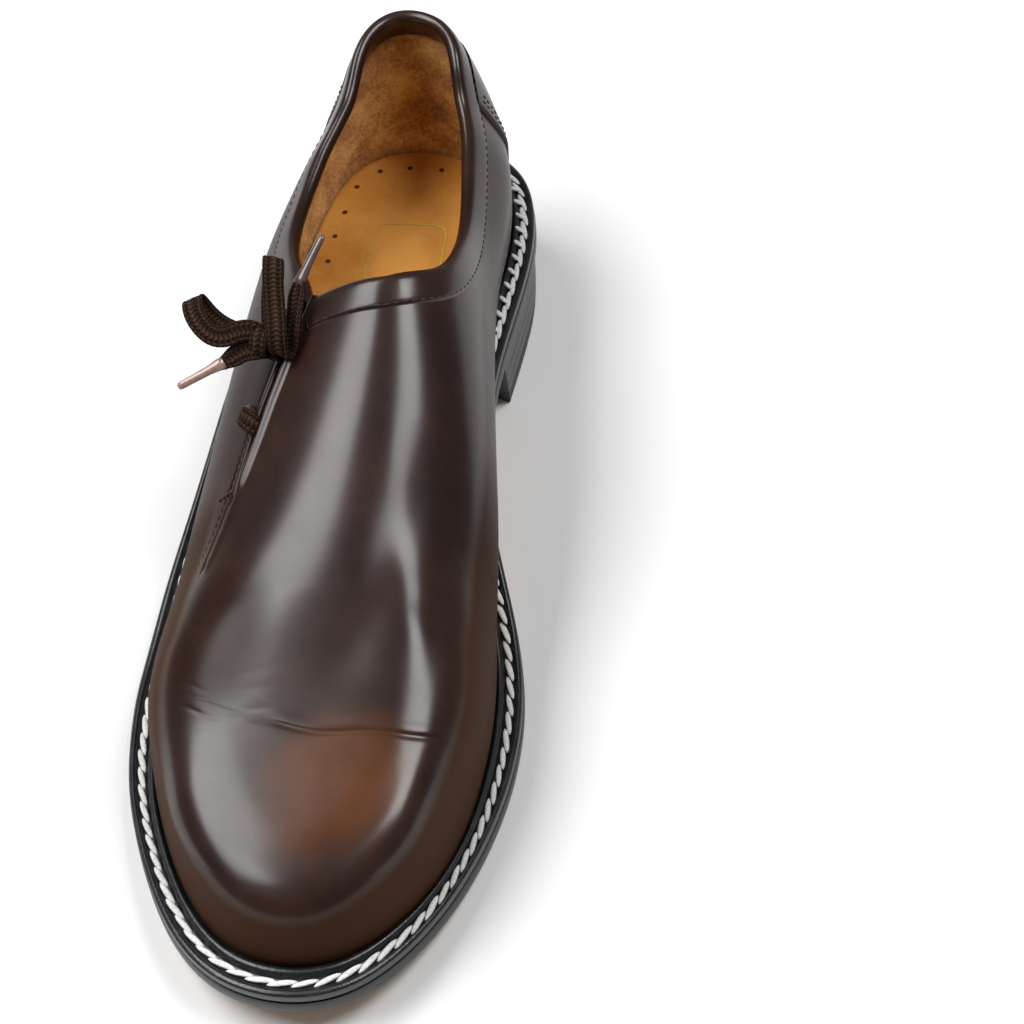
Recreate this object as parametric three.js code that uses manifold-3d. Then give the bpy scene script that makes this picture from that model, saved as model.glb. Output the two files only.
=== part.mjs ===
// Haferl shoe for the right foot: a plain one-piece vamp, a low collar, and a lace at the outer side.
// Millimetres, +Z up, toe towards -Y, inner side of the foot towards +X.
// Lengths along the shoe are written as "at", the share of the sole's length from the heel's back.
// Heights of the upper are counted from the seat line, where the upper meets the welt.
import * as THREE from 'three';
import { mergeVertices } from 'three/addons/utils/BufferGeometryUtils.js';
import Module from 'manifold-3d';

const wasm = await Module();
wasm.setup();

// Driving sizes
const SOLE_LENGTH = 302;
const BALL_WIDTH = 111.6;
const INSTEP_RISE = 64; // seat line to the throat
const HEEL_HEIGHT = 24; // floor to the underside of the sole at the heel
const TOE_SPRING = 10;
const OUTSOLE_THICKNESS = 5;
const WELT_THICKNESS = 4;
const WELT_MARGIN = 8; // edge of the sole to the foot of the upper
const UPPER_WALL = 2;
const INSOLE_THICKNESS = 3.2;
const LIFT_THICKNESS = 6;
const HEEL_LENGTH = 80; // heel's back to the middle of its front face
const COLLAR_BAND = 9;
const COLLAR_THICKNESS = 1.1;
const COUNTER_THICKNESS = 0.9;
const TONGUE_THICKNESS = 1.3;
const SLIT_WIDTH = 2.8;
const EYELET_HOLE = 2.9; // radius of the hole in the quarter
const EYELET_BORE = 2.0;
const EYELET_SETBACK = 7.5; // middle of an eyelet to the middle of the slit
const TONGUE_WIDTH = 27;
const TONGUE_CLEARANCE = 0.4;
const COUNTER_REACH = 24; // front of the counter from the heel's back, at its foot
const COUNTER_LEAN = 9; // how much further forward it would be at twice the instep rise
const BEAD_RISE = 1.1; // inner bead of the welt over the seat line
const BEAD_CLEARANCE = 1.6; // between the inner bead and the foot of the upper
const CHANNEL_DEPTH = 0.9;
const EDGE_STEP = 0.6; // welt set back from the edge of the outsole
const LEDGE = 9; // welt under the upper
const INSOLE_CLEARANCE = 1.1;
const HEEL_INSET = 0.8;
const HEEL_SLOPE = 6; // foot of the heel's front face behind its top
const GROOVE_WIDTH = 1.6;
const GROOVE_DEPTH = 1.2;
const GROOVE_BACK = 30; // grooves across the lift, at the middle of the heel
const GROOVE_FRONT = 51.5;
const GROOVE_TURN = -8; // degrees
const LACE_WIDTH = 6;
const LACE_THICKNESS = 1.3;
const TIP_LENGTH = 9;
const TIP_RADIUS = 1.4;
const HOLLOW_RUN_OUT = 8; // the hollowing form goes on below the seat line
const GAP = 0.3; // between pieces that touch
const SOLE_GAP = 0.4; // the same between the curved layers of the sole

// Plan of the sole: distance from the long axis as a share of the ball width
const OUTLINE = [
  { at: 0.000, inner: 0.006, outer: -0.006 },
  { at: 0.015, inner: 0.174, outer: 0.150 },
  { at: 0.050, inner: 0.289, outer: 0.252 },
  { at: 0.100, inner: 0.343, outer: 0.308 },
  { at: 0.160, inner: 0.357, outer: 0.338 },
  { at: 0.240, inner: 0.340, outer: 0.365 },
  { at: 0.320, inner: 0.319, outer: 0.390 },
  { at: 0.400, inner: 0.318, outer: 0.418 },
  { at: 0.480, inner: 0.355, outer: 0.452 },
  { at: 0.560, inner: 0.425, outer: 0.488 },
  { at: 0.620, inner: 0.467, outer: 0.503 },
  { at: 0.670, inner: 0.484, outer: 0.508 },
  { at: 0.720, inner: 0.484, outer: 0.499 },
  { at: 0.780, inner: 0.464, outer: 0.469 },
  { at: 0.840, inner: 0.424, outer: 0.413 },
  { at: 0.900, inner: 0.361, outer: 0.335 },
  { at: 0.950, inner: 0.279, outer: 0.243 },
  { at: 0.985, inner: 0.179, outer: 0.129 },
  { at: 1.000, inner: 0.033, outer: -0.033 },
];

// Width of the welt outside the upper, as a share of the welt margin
const MARGIN = [
  { at: 0.00, inner: 1.00, outer: 1.00 },
  { at: 0.15, inner: 0.92, outer: 0.92 },
  { at: 0.35, inner: 0.88, outer: 0.90 },
  { at: 0.50, inner: 0.90, outer: 1.02 },
  { at: 0.60, inner: 0.98, outer: 1.18 },
  { at: 0.68, inner: 1.00, outer: 1.16 },
  { at: 0.75, inner: 0.92, outer: 1.08 },
  { at: 0.83, inner: 0.76, outer: 1.02 },
  { at: 0.92, inner: 0.86, outer: 1.08 },
  { at: 1.00, inner: 1.22, outer: 1.22 },
];

// Crest of the last: height as a share of the instep rise, side shift as a share of the ball width
const CREST = [
  { at: 0.00, rise: 1.06, shift: 0.000 },
  { at: 0.17, rise: 1.06, shift: 0.010 },
  { at: 0.27, rise: 1.05, shift: 0.045 },
  { at: 0.33, rise: 1.03, shift: 0.070 },
  { at: 0.39, rise: 1.00, shift: 0.090 },
  { at: 0.47, rise: 0.96, shift: 0.090 },
  { at: 0.55, rise: 0.92, shift: 0.075 },
  { at: 0.66, rise: 0.81, shift: 0.055 },
  { at: 0.78, rise: 0.62, shift: 0.040 },
  { at: 0.87, rise: 0.50, shift: 0.035 },
  { at: 0.94, rise: 0.40, shift: 0.035 },
  { at: 1.00, rise: 0.33, shift: 0.035 },
];
const HEEL_POLE = 0.166;
const TOE_POLE = 0.656;

// Sections of the upper. girth: height of the widest place, as a share of the instep rise.
// swell: how far the side stands out over its foot there, as a share of the ball width.
// wall: how upright the side goes on from there. roof: how broad the top is.
const INNER_SECTIONS = [
  { at: 0.00, girth: 0.35, swell: 0.040, wall: 1.00, roof: 1.00 },
  { at: 0.02, girth: 0.35, swell: 0.026, wall: 0.76, roof: 0.72 },
  { at: 0.05, girth: 0.34, swell: 0.010, wall: 0.45, roof: 0.35 },
  { at: 0.10, girth: 0.34, swell: 0.008, wall: 0.28, roof: 0.16 },
  { at: 0.16, girth: 0.33, swell: 0.019, wall: 0.24, roof: 0.12 },
  { at: 0.25, girth: 0.33, swell: 0.040, wall: 0.30, roof: 0.22 },
  { at: 0.32, girth: 0.34, swell: 0.068, wall: 0.42, roof: 0.40 },
  { at: 0.40, girth: 0.37, swell: 0.094, wall: 0.52, roof: 0.50 },
  { at: 0.50, girth: 0.37, swell: 0.078, wall: 0.58, roof: 0.54 },
  { at: 0.60, girth: 0.29, swell: 0.022, wall: 0.58, roof: 0.57 },
  { at: 0.70, girth: 0.21, swell: 0.014, wall: 0.76, roof: 0.76 },
  { at: 0.81, girth: 0.15, swell: 0.009, wall: 0.96, roof: 0.94 },
  { at: 0.90, girth: 0.125, swell: 0.009, wall: 1.08, roof: 1.04 },
  { at: 1.00, girth: 0.125, swell: 0.009, wall: 1.14, roof: 1.08 },
];
const OUTER_SECTIONS = [
  { at: 0.00, girth: 0.35, swell: 0.040, wall: 1.00, roof: 1.00 },
  { at: 0.02, girth: 0.34, swell: 0.022, wall: 0.74, roof: 0.68 },
  { at: 0.05, girth: 0.33, swell: 0.006, wall: 0.42, roof: 0.32 },
  { at: 0.10, girth: 0.32, swell: 0.004, wall: 0.26, roof: 0.12 },
  { at: 0.16, girth: 0.31, swell: 0.014, wall: 0.20, roof: 0.08 },
  { at: 0.25, girth: 0.29, swell: 0.022, wall: 0.18, roof: 0.10 },
  { at: 0.32, girth: 0.24, swell: 0.014, wall: 0.34, roof: 0.18 },
  { at: 0.40, girth: 0.20, swell: 0.008, wall: 0.44, roof: 0.28 },
  { at: 0.50, girth: 0.19, swell: 0.003, wall: 0.44, roof: 0.38 },
  { at: 0.60, girth: 0.18, swell: 0.002, wall: 0.52, roof: 0.50 },
  { at: 0.70, girth: 0.18, swell: 0.004, wall: 0.72, roof: 0.70 },
  { at: 0.81, girth: 0.14, swell: 0.005, wall: 0.94, roof: 0.92 },
  { at: 0.90, girth: 0.125, swell: 0.006, wall: 1.08, roof: 1.04 },
  { at: 1.00, girth: 0.125, swell: 0.009, wall: 1.14, roof: 1.08 },
];
const LOWER = 0.25; // share of a rib's steps between the seat line and the widest place

// Where the opening's edge lies on each rib, as a share of the way up
const TOPLINE = [
  { at: 0.000, inner: 0.540, outer: 0.540 },
  { at: 0.020, inner: 0.595, outer: 0.585 },
  { at: 0.050, inner: 0.592, outer: 0.600 },
  { at: 0.110, inner: 0.570, outer: 0.597 },
  { at: 0.180, inner: 0.555, outer: 0.565 },
  { at: 0.240, inner: 0.540, outer: 0.542 },
  { at: 0.290, inner: 0.560, outer: 0.562 },
  { at: 0.330, inner: 0.620, outer: 0.612 },
  { at: 0.355, inner: 0.690, outer: 0.658 },
  { at: 0.373, inner: 0.790, outer: 0.690 },
  { at: 0.384, inner: 0.900, outer: 0.706 },
  { at: 0.392, inner: 1.000, outer: 0.715 },
];
const THROAT = 0.392;

// The slit in the outer side, as a share of the way up each rib
const SLIT = [
  { at: 0.392, up: 0.710 },
  { at: 0.430, up: 0.672 },
  { at: 0.480, up: 0.642 },
  { at: 0.520, up: 0.627 },
  { at: 0.555, up: 0.620 },
];
const SLIT_START = 0.392;
const SLIT_END = 0.555;
const SLIT_RUN_OUT = 0.013; // the cut goes on into the opening
const TONGUE_END = 0.590;
const EYELET_TOP = 0.420;
const EYELET_LOW = 0.477;

// Steps between two places. A curve runs smoothly through the rows of a table.
function angleOf(at) {
  return Math.acos(1 - 2 * at) / Math.PI;
}

function shareOf(t) {
  return (1 - Math.cos(Math.PI * t)) / 2;
}

function curve(rows, key, place = (row) => row.at) {
  const x = rows.map(place);
  const y = rows.map((row) => row[key]);
  const n = x.length;
  const bend = new Array(n).fill(0);
  const carry = new Array(n).fill(0);
  for (let i = 1; i < n - 1; i += 1) {
    const before = x[i] - x[i - 1];
    const span = x[i + 1] - x[i - 1];
    const turn = (y[i + 1] - y[i]) / (x[i + 1] - x[i]) - (y[i] - y[i - 1]) / before;
    const pivot = (before / span) * bend[i - 1] + 2;
    bend[i] = (before / span - 1) / pivot;
    carry[i] = ((6 * turn) / span - (before / span) * carry[i - 1]) / pivot;
  }
  for (let i = n - 2; i >= 0; i -= 1) {
    bend[i] = bend[i] * bend[i + 1] + carry[i];
  }
  return (wanted) => {
    const p = Math.min(Math.max(wanted, x[0]), x[n - 1]);
    let i = 0;
    while (i < n - 2 && p > x[i + 1]) i += 1;
    const h = x[i + 1] - x[i];
    const b = (p - x[i]) / h;
    const a = 1 - b;
    const value = a * y[i] + b * y[i + 1]
      + ((a ** 3 - a) * bend[i] + (b ** 3 - b) * bend[i + 1]) * (h * h) / 6;
    const slope = (y[i + 1] - y[i]) / h
      + ((1 - 3 * a * a) * bend[i] + (3 * b * b - 1) * bend[i + 1]) * (h / 6);
    return { value, slope };
  };
}

const INNER = 1;
const OUTER = -1;
const byAngle = (row) => angleOf(row.at);
const outlineOf = {
  [INNER]: curve(OUTLINE, 'inner', byAngle),
  [OUTER]: curve(OUTLINE, 'outer', byAngle),
};
const marginOf = { [INNER]: curve(MARGIN, 'inner'), [OUTER]: curve(MARGIN, 'outer') };
const crestRise = curve(CREST, 'rise');
const crestShift = curve(CREST, 'shift');
const girthOf = { [INNER]: curve(INNER_SECTIONS, 'girth'), [OUTER]: curve(OUTER_SECTIONS, 'girth') };
const swellOf = { [INNER]: curve(INNER_SECTIONS, 'swell'), [OUTER]: curve(OUTER_SECTIONS, 'swell') };
const wallOf = { [INNER]: curve(INNER_SECTIONS, 'wall'), [OUTER]: curve(OUTER_SECTIONS, 'wall') };
const roofOf = { [INNER]: curve(INNER_SECTIONS, 'roof'), [OUTER]: curve(OUTER_SECTIONS, 'roof') };
const toplineOf = { [INNER]: curve(TOPLINE, 'inner'), [OUTER]: curve(TOPLINE, 'outer') };
const slitOf = curve(SLIT, 'up');

// Side view of the sole: the heel seat falls to the ball, then the toe springs up
const SEAT_END = 0.305;
const FLAT_START = 0.66;
const FLAT_END = 0.70;
const SPRING_POWER = 1.7;

function soleRise(along) {
  const at = along / SOLE_LENGTH;
  const fall = THREE.MathUtils.smoothstep(at, SEAT_END, FLAT_START);
  const toe = Math.max(0, (at - FLAT_END) / (1 - FLAT_END));
  return HEEL_HEIGHT * (1 - fall) + TOE_SPRING * toe ** SPRING_POWER;
}

function seatLine(along) {
  return soleRise(along) + OUTSOLE_THICKNESS + WELT_THICKNESS;
}

// Point of the sole's plan, moved inwards by a distance
function planPoint(side, t, inset) {
  const { value, slope } = outlineOf[side](t);
  const dx = side * slope * BALL_WIDTH;
  const da = (SOLE_LENGTH * Math.PI * Math.sin(Math.PI * t)) / 2;
  const size = Math.hypot(dx, da);
  return {
    x: side * value * BALL_WIDTH - (side * da * inset) / size,
    along: shareOf(t) * SOLE_LENGTH + (side * dx * inset) / size,
  };
}

// A place in the part's frame: the toe points to -Y
function at3(x, along, z) {
  return new THREE.Vector3(x - MIDDLE, SOLE_LENGTH / 2 - along, z);
}

function marginAt(side, t) {
  return WELT_MARGIN * marginOf[side](shareOf(t)).value;
}

// Point of the last's surface, up = 0 at the seat line and 1 at the crest
function skin(side, t, up) {
  const at = shareOf(t);
  const foot = planPoint(side, t, marginAt(side, t));
  const top = Math.min(Math.max(at, HEEL_POLE), TOE_POLE);
  const topX = crestShift(top).value * BALL_WIDTH;
  const topAlong = top * SOLE_LENGTH;
  const dx = foot.x - topX;
  const da = foot.along - topAlong;
  const reach = Math.hypot(dx, da);
  const swell = swellOf[side](at).value * BALL_WIDTH;
  const girth = girthOf[side](at).value * INSTEP_RISE;
  const seat = seatLine(foot.along) + GAP;
  if (up <= LOWER) {
    const q = up / LOWER;
    const r = reach + swell * (2 * q - q * q);
    return at3(topX + (dx * r) / reach, topAlong + (da * r) / reach, seat + girth * q);
  }
  const q = (up - LOWER) / (1 - LOWER);
  const p = 1 - q;
  const r = (reach + swell) * (p ** 3 + 3 * p * p * q + 3 * p * q * q * roofOf[side](at).value);
  const climb = 3 * p * p * q * wallOf[side](at).value + 3 * p * q * q + q ** 3;
  const along = topAlong + (da * r) / reach;
  const crest = seatLine(along) + INSTEP_RISE * crestRise(along / SOLE_LENGTH).value;
  const z = seat + girth + (crest - seat - girth) * climb;
  return at3(topX + (dx * r) / reach, along, z);
}

// Outward direction of the surface
const NUDGE = 1e-3;

function skinNormal(side, t, up) {
  const t0 = Math.max(t - NUDGE, 0);
  const t1 = Math.min(t + NUDGE, 1);
  const up0 = Math.max(up - NUDGE, 0);
  const up1 = Math.min(up + NUDGE, 1);
  const alongEdge = skin(side, t1, up).sub(skin(side, t0, up));
  const alongRib = skin(side, t, up1).sub(skin(side, t, up0));
  return alongEdge.cross(alongRib).multiplyScalar(-side).normalize();
}

// Solids from triangles
function volumeOf(points, faces) {
  let six = 0;
  for (const [a, b, c] of faces) {
    const [p, q, r] = [points[a], points[b], points[c]];
    six += p.dot(q.clone().cross(r));
  }
  return six / 6;
}

// Closes over a list of places and a list of triangles, whichever way round the triangles go
function solidFrom(points, faces) {
  const turned = volumeOf(points, faces) < 0 ? faces.map(([a, b, c]) => [a, c, b]) : faces;
  const geometry = new THREE.BufferGeometry();
  geometry.setAttribute('position', new THREE.Float32BufferAttribute(points.flatMap((p) => p.toArray()), 3));
  geometry.setIndex(turned.flat());
  return toSolid(geometry);
}

function toSolid(geometry) {
  const bare = geometry.clone();
  bare.deleteAttribute('normal');
  bare.deleteAttribute('uv');
  const merged = mergeVertices(bare, 1e-3);
  const index = merged.index.array;
  const kept = [];
  for (let i = 0; i < index.length; i += 3) {
    const [a, b, c] = [index[i], index[i + 1], index[i + 2]];
    if (a !== b && b !== c && a !== c) kept.push(a, b, c);
  }
  const vertProperties = Float32Array.from(merged.attributes.position.array);
  const mesh = new wasm.Mesh({ numProp: 3, vertProperties, triVerts: Uint32Array.from(kept) });
  return new wasm.Manifold(mesh);
}

function toGeometry(solid) {
  const mesh = solid.getMesh();
  const geometry = new THREE.BufferGeometry();
  const points = new Float32Array(mesh.numVert * 3);
  for (let i = 0; i < mesh.numVert; i += 1) {
    for (let k = 0; k < 3; k += 1) points[3 * i + k] = mesh.vertProperties[mesh.numProp * i + k];
  }
  geometry.setAttribute('position', new THREE.BufferAttribute(points, 3));
  geometry.setIndex(new THREE.BufferAttribute(Uint32Array.from(mesh.triVerts), 1));
  geometry.computeVertexNormals();
  return geometry;
}

// Stations along the shoe, closer together at the rounded ends
function stationsBetween(from, to, count, extra = []) {
  const list = [];
  for (let i = 0; i <= count; i += 1) list.push(from + ((to - from) * i) / count);
  for (const at of extra) {
    const t = angleOf(at);
    if (t <= from || t >= to) continue;
    const nearest = list.reduce((best, s, i) => (Math.abs(s - t) < Math.abs(list[best] - t) ? i : best), 0);
    list[nearest] = t;
  }
  return list;
}

const COLUMNS = 40;
const ROWS = 12;
const STATIONS = stationsBetween(0, 1, COLUMNS, [SEAT_END, FLAT_START, FLAT_END]);

// Middle of the sole's width, measured from its long axis
const widest = (side) => Math.max(...STATIONS.map((t) => side * planPoint(side, t, 0).x));
const MIDDLE = (widest(INNER) - widest(OUTER)) / 2;

// Net of places on the last. Both sides share the crest and the two ends, and each pole is one place.
const net = makeNet();

function makeNet() {
  const indexOf = new Map();
  const points = [];
  const columns = { [INNER]: [], [OUTER]: [] };
  for (const side of [INNER, OUTER]) {
    STATIONS.forEach((t, i) => {
      const at = shareOf(t);
      const column = [];
      for (let j = 0; j <= ROWS; j += 1) {
        let key = `${side} ${i} ${j}`;
        if (i === 0 || i === COLUMNS) key = `end ${i} ${j}`;
        if (j === ROWS) key = `crest ${i}`;
        if (j === ROWS && at <= HEEL_POLE) key = 'heel pole';
        if (j === ROWS && at >= TOE_POLE) key = 'toe pole';
        if (!indexOf.has(key)) {
          indexOf.set(key, points.length);
          points.push(skin(side, t, j / ROWS));
        }
        column.push(indexOf.get(key));
      }
      columns[side].push(column);
    });
  }
  const faces = [];
  for (const side of [INNER, OUTER]) {
    for (let i = 0; i < COLUMNS; i += 1) {
      for (let j = 0; j < ROWS; j += 1) addQuad(faces, side, columns[side], i, j);
    }
  }
  const normals = points.map(() => new THREE.Vector3());
  for (const [a, b, c] of faces) {
    const normal = points[b].clone().sub(points[a]).cross(points[c].clone().sub(points[a]));
    for (const k of [a, b, c]) normals[k].add(normal);
  }
  for (const normal of normals) normal.normalize();
  return { points, faces, normals, columns };
}

// Two triangles between neighbouring columns, facing outwards. A pole leaves one.
function addQuad(faces, side, columns, i, j) {
  const [a, b] = [columns[i][j], columns[i + 1][j]];
  const [c, d] = [columns[i + 1][j + 1], columns[i][j + 1]];
  const pair = side === INNER ? [[a, c, b], [a, d, c]] : [[a, b, c], [a, c, d]];
  for (const face of pair) {
    if (new Set(face).size === 3) faces.push(face);
  }
}

// The whole closed last at a distance from its surface. A hollowing form runs on below the seat line.
function lastForm(offset, below = 0) {
  const points = net.points.map((p, i) => p.clone().addScaledVector(net.normals[i], offset));
  const faces = [...net.faces];
  const foot = { [INNER]: [], [OUTER]: [] };
  const lowered = new Map();
  for (const side of [INNER, OUTER]) {
    const columns = net.columns[side].map((column) => {
      const start = column[0];
      if (below === 0) return [start, start];
      if (!lowered.has(start)) {
        lowered.set(start, points.length);
        points.push(points[start].clone().setZ(points[start].z - below));
      }
      return [lowered.get(start), start];
    });
    foot[side] = columns.map((column) => column[0]);
    for (let i = 0; below > 0 && i < COLUMNS; i += 1) addQuad(faces, side, columns, i, 0);
  }
  for (let i = 0; i < COLUMNS; i += 1) {
    const [a, b] = [foot[INNER][i], foot[INNER][i + 1]];
    const [c, d] = [foot[OUTER][i + 1], foot[OUTER][i]];
    if (new Set([a, b, c]).size === 3) faces.push([a, b, c]);
    if (new Set([a, c, d]).size === 3) faces.push([a, c, d]);
  }
  return solidFrom(points, faces);
}

// Skins a row of sections that have the same number of places. A closed row has no ends.
function tube(sections, closed = false) {
  const size = sections[0].length;
  const faces = [];
  const spans = closed ? sections.length : sections.length - 1;
  for (let i = 0; i < spans; i += 1) {
    const here = i * size;
    const next = ((i + 1) % sections.length) * size;
    for (let k = 0; k < size; k += 1) {
      const other = (k + 1) % size;
      faces.push([here + k, next + k, next + other], [here + k, next + other, here + other]);
    }
  }
  const last = (sections.length - 1) * size;
  for (let k = 1; !closed && k < size - 1; k += 1) {
    faces.push([0, k, k + 1], [last, last + k + 1, last + k]);
  }
  return solidFrom(sections.flat(), faces);
}

// A body that stands across the surface along a closed line of places and reaches up over the opening
const CUT_DEPTH = 9;

function openingCutter(loop, band) {
  const centre = new THREE.Vector3();
  const places = loop.map((place) => skin(place.side, place.t, place.up));
  const normals = loop.map((place) => skinNormal(place.side, place.t, place.up));
  const n = loop.length;
  const edge = places.map((p, i) => {
    const before = p.clone().sub(places[(i + n - 1) % n]).normalize();
    const after = places[(i + 1) % n].clone().sub(p).normalize();
    const outBefore = normals[i].clone().cross(before).normalize();
    const outAfter = normals[i].clone().cross(after).normalize();
    const out = outBefore.add(outAfter);
    out.multiplyScalar((2 * band) / Math.max(out.lengthSq(), 0.5));
    return p.clone().add(out);
  });
  for (const p of places) centre.add(p);
  centre.multiplyScalar(1 / n);
  const low = centre.clone();
  low.z -= INSTEP_RISE / 4;
  const high = centre.clone();
  high.z += 3 * INSTEP_RISE;
  const points = [low, high];
  const faces = [];
  edge.forEach((p, i) => {
    points.push(p.clone().addScaledVector(normals[i], -CUT_DEPTH));
    points.push(p.clone().addScaledVector(normals[i], CUT_DEPTH));
    const [a, b] = [2 + 2 * i, 2 + 2 * ((i + 1) % n)];
    faces.push([a, b, b + 1], [a, b + 1, a + 1], [0, b, a], [1, a + 1, b + 1]);
  });
  return solidFrom(points, faces);
}

// A strip that stands across the surface along an open line of places, half a width to each side
function stripCutter(line, halfWidth, depthIn, depthOut) {
  const places = line.map((place) => skin(place.side, place.t, place.up));
  return tube(places.map((p, i) => {
    const ahead = places[Math.min(i + 1, places.length - 1)];
    const behind = places[Math.max(i - 1, 0)];
    const normal = skinNormal(line[i].side, line[i].t, line[i].up);
    const across = ahead.clone().sub(behind).cross(normal).normalize().multiplyScalar(halfWidth(i));
    const corners = [[-1, -depthIn], [1, -depthIn], [1, depthOut], [-1, depthOut]];
    return corners.map(([side, depth]) => p.clone().addScaledVector(across, side).addScaledVector(normal, depth));
  }));
}

// A plate with the sole's plan. Its two faces have an inset from the outline and a height along the shoe.
function plate(stations, low, high) {
  return tube(stations.map((t) => [[INNER, low], [INNER, high], [OUTER, high], [OUTER, low]].map(([side, face]) => {
    const p = planPoint(side, t, face.inset(side, t));
    return at3(p.x, p.along, face.height(p.along));
  })));
}

// A body as wide as the shoe, with the same side view all across
function slab(corners) {
  return tube([-BALL_WIDTH, BALL_WIDTH].map((x) => corners.map(([along, z]) => at3(x, along, z))));
}

// Turns a body that stands along Z so that it stands along a direction at a place
function stand(solid, place, direction) {
  const turn = new THREE.Quaternion().setFromUnitVectors(new THREE.Vector3(0, 0, 1), direction);
  const matrix = new THREE.Matrix4().compose(place, turn, new THREE.Vector3(1, 1, 1));
  return solid.transform(matrix.elements);
}

// A flat band through a row of places, each with a width and the direction in which it lies
function flatBand(rows, thickness) {
  return tube(rows.map((row, i) => {
    const ahead = rows[Math.min(i + 1, rows.length - 1)].place;
    const behind = rows[Math.max(i - 1, 0)].place;
    const run = ahead.clone().sub(behind).normalize();
    const wide = row.wide.clone().addScaledVector(run, -row.wide.dot(run)).normalize();
    const thick = run.clone().cross(wide).multiplyScalar(thickness / 2);
    wide.multiplyScalar(row.width / 2);
    const corners = [[-1, -1], [1, -1], [1, 1], [-1, 1]];
    return corners.map(([a, b]) => row.place.clone().addScaledVector(wide, a).addScaledVector(thick, b));
  }));
}

// Upper
const OPENING_STEPS = 19;
const toplineStations = stationsBetween(0, angleOf(THROAT), OPENING_STEPS);

function toplineLoop() {
  const inner = toplineStations.map((t) => ({ side: INNER, t, up: toplineOf[INNER](shareOf(t)).value }));
  const outer = toplineStations.map((t) => ({ side: OUTER, t, up: toplineOf[OUTER](shareOf(t)).value }));
  const throat = [];
  const corner = toplineOf[OUTER](THROAT).value;
  for (let k = 1; k < 6; k += 1) {
    throat.push({ side: OUTER, t: angleOf(THROAT), up: 1 + ((corner - 1) * k) / 6 });
  }
  return [...inner, ...throat, ...outer.reverse().slice(0, -1)];
}

function slitLine(from, to, count) {
  const line = [];
  for (let i = 0; i <= count; i += 1) {
    const at = from + ((to - from) * i) / count;
    line.push({ side: OUTER, t: angleOf(at), up: slitOf(at).value });
  }
  return line;
}

// The slit is even as far as the last third of its length, where it closes to a point
function slitCutter() {
  const line = slitLine(SLIT_START - SLIT_RUN_OUT, SLIT_END, 12);
  const taper = 4;
  const half = (i) => Math.min(1, 0.12 + (12 - i) / taper) * (SLIT_WIDTH / 2);
  return stripCutter(line, half, CUT_DEPTH / 2, CUT_DEPTH / 2);
}

// The place beside the slit at a distance down the quarter
function besideSlit(at, distance) {
  const t = angleOf(at);
  const start = skin(OUTER, t, slitOf(at).value);
  let [far, near] = [0.3, slitOf(at).value];
  for (let k = 0; k < 24; k += 1) {
    const up = (far + near) / 2;
    if (skin(OUTER, t, up).distanceTo(start) > distance) far = up;
    else near = up;
  }
  return { side: OUTER, t, up: near };
}

const eyelets = {
  top: besideSlit(EYELET_TOP, EYELET_SETBACK),
  low: besideSlit(EYELET_LOW, EYELET_SETBACK),
};

function standAt(solid, place) {
  return stand(solid, skin(place.side, place.t, place.up), skinNormal(place.side, place.t, place.up));
}

function lastShell(inside, thickness) {
  return lastForm(inside + thickness).subtract(lastForm(inside));
}

const opening = openingCutter(toplineLoop(), 0);
const slit = slitCutter();
const pastBand = openingCutter(toplineLoop(), COLLAR_BAND + GAP);

function makeUpper() {
  const shell = lastForm(0).subtract(lastForm(-UPPER_WALL, HOLLOW_RUN_OUT));
  const drill = wasm.Manifold.cylinder(2 * CUT_DEPTH, EYELET_HOLE, EYELET_HOLE, 16, true);
  const holes = [standAt(drill, eyelets.top), standAt(drill, eyelets.low)];
  return shell.subtract(opening).subtract(slit).subtract(holes[0]).subtract(holes[1]);
}

function makeCollarBand() {
  const band = openingCutter(toplineLoop(), COLLAR_BAND);
  return lastShell(GAP, COLLAR_THICKNESS).intersect(band).subtract(opening).subtract(slit);
}

// The counter ends above the welt's inner bead and in front along a steep line
function makeCounter() {
  const foot = seatLine(0) + BEAD_RISE + 2 * GAP;
  const top = 2 * INSTEP_RISE;
  const side = slab([[-COUNTER_REACH, foot], [COUNTER_REACH, foot], [COUNTER_REACH + COUNTER_LEAN, top],
    [-COUNTER_REACH, top]]);
  return lastShell(GAP, COUNTER_THICKNESS).intersect(side).subtract(pastBand);
}

function makeTongue() {
  const under = stripCutter(slitLine(SLIT_START, TONGUE_END, 8), () => TONGUE_WIDTH / 2, CUT_DEPTH, 0);
  return lastShell(-UPPER_WALL - TONGUE_CLEARANCE - TONGUE_THICKNESS, TONGUE_THICKNESS).intersect(under);
}

// Welt: a rim bead at the edge, the channel for the stitches, the inner bead, and a ledge under the upper
function weltProfile(margin) {
  const bead = margin - BEAD_CLEARANCE;
  const top = OUTSOLE_THICKNESS + WELT_THICKNESS;
  const floor = top - CHANNEL_DEPTH;
  return [
    [EDGE_STEP, OUTSOLE_THICKNESS + SOLE_GAP],
    [EDGE_STEP, floor],
    [0.13 * margin, top - 0.05],
    [0.24 * margin, top],
    [0.33 * margin, floor],
    [bead - 0.27 * margin, floor],
    [bead - 0.21 * margin, top + BEAD_RISE * 0.8],
    [bead - 0.11 * margin, top + BEAD_RISE],
    [bead - 0.02 * margin, top + BEAD_RISE * 0.6],
    [bead, top],
    [margin + LEDGE, top],
    [margin + LEDGE, OUTSOLE_THICKNESS + SOLE_GAP],
  ];
}

function makeWelt() {
  const round = [
    ...STATIONS.map((t) => [INNER, t]),
    ...STATIONS.slice(1, -1).reverse().map((t) => [OUTER, t]),
  ];
  return tube(round.map(([side, t]) => weltProfile(marginAt(side, t)).map(([inset, rise]) => {
    const p = planPoint(side, t, inset);
    return at3(p.x, p.along, soleRise(p.along) + rise);
  })), true);
}

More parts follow.
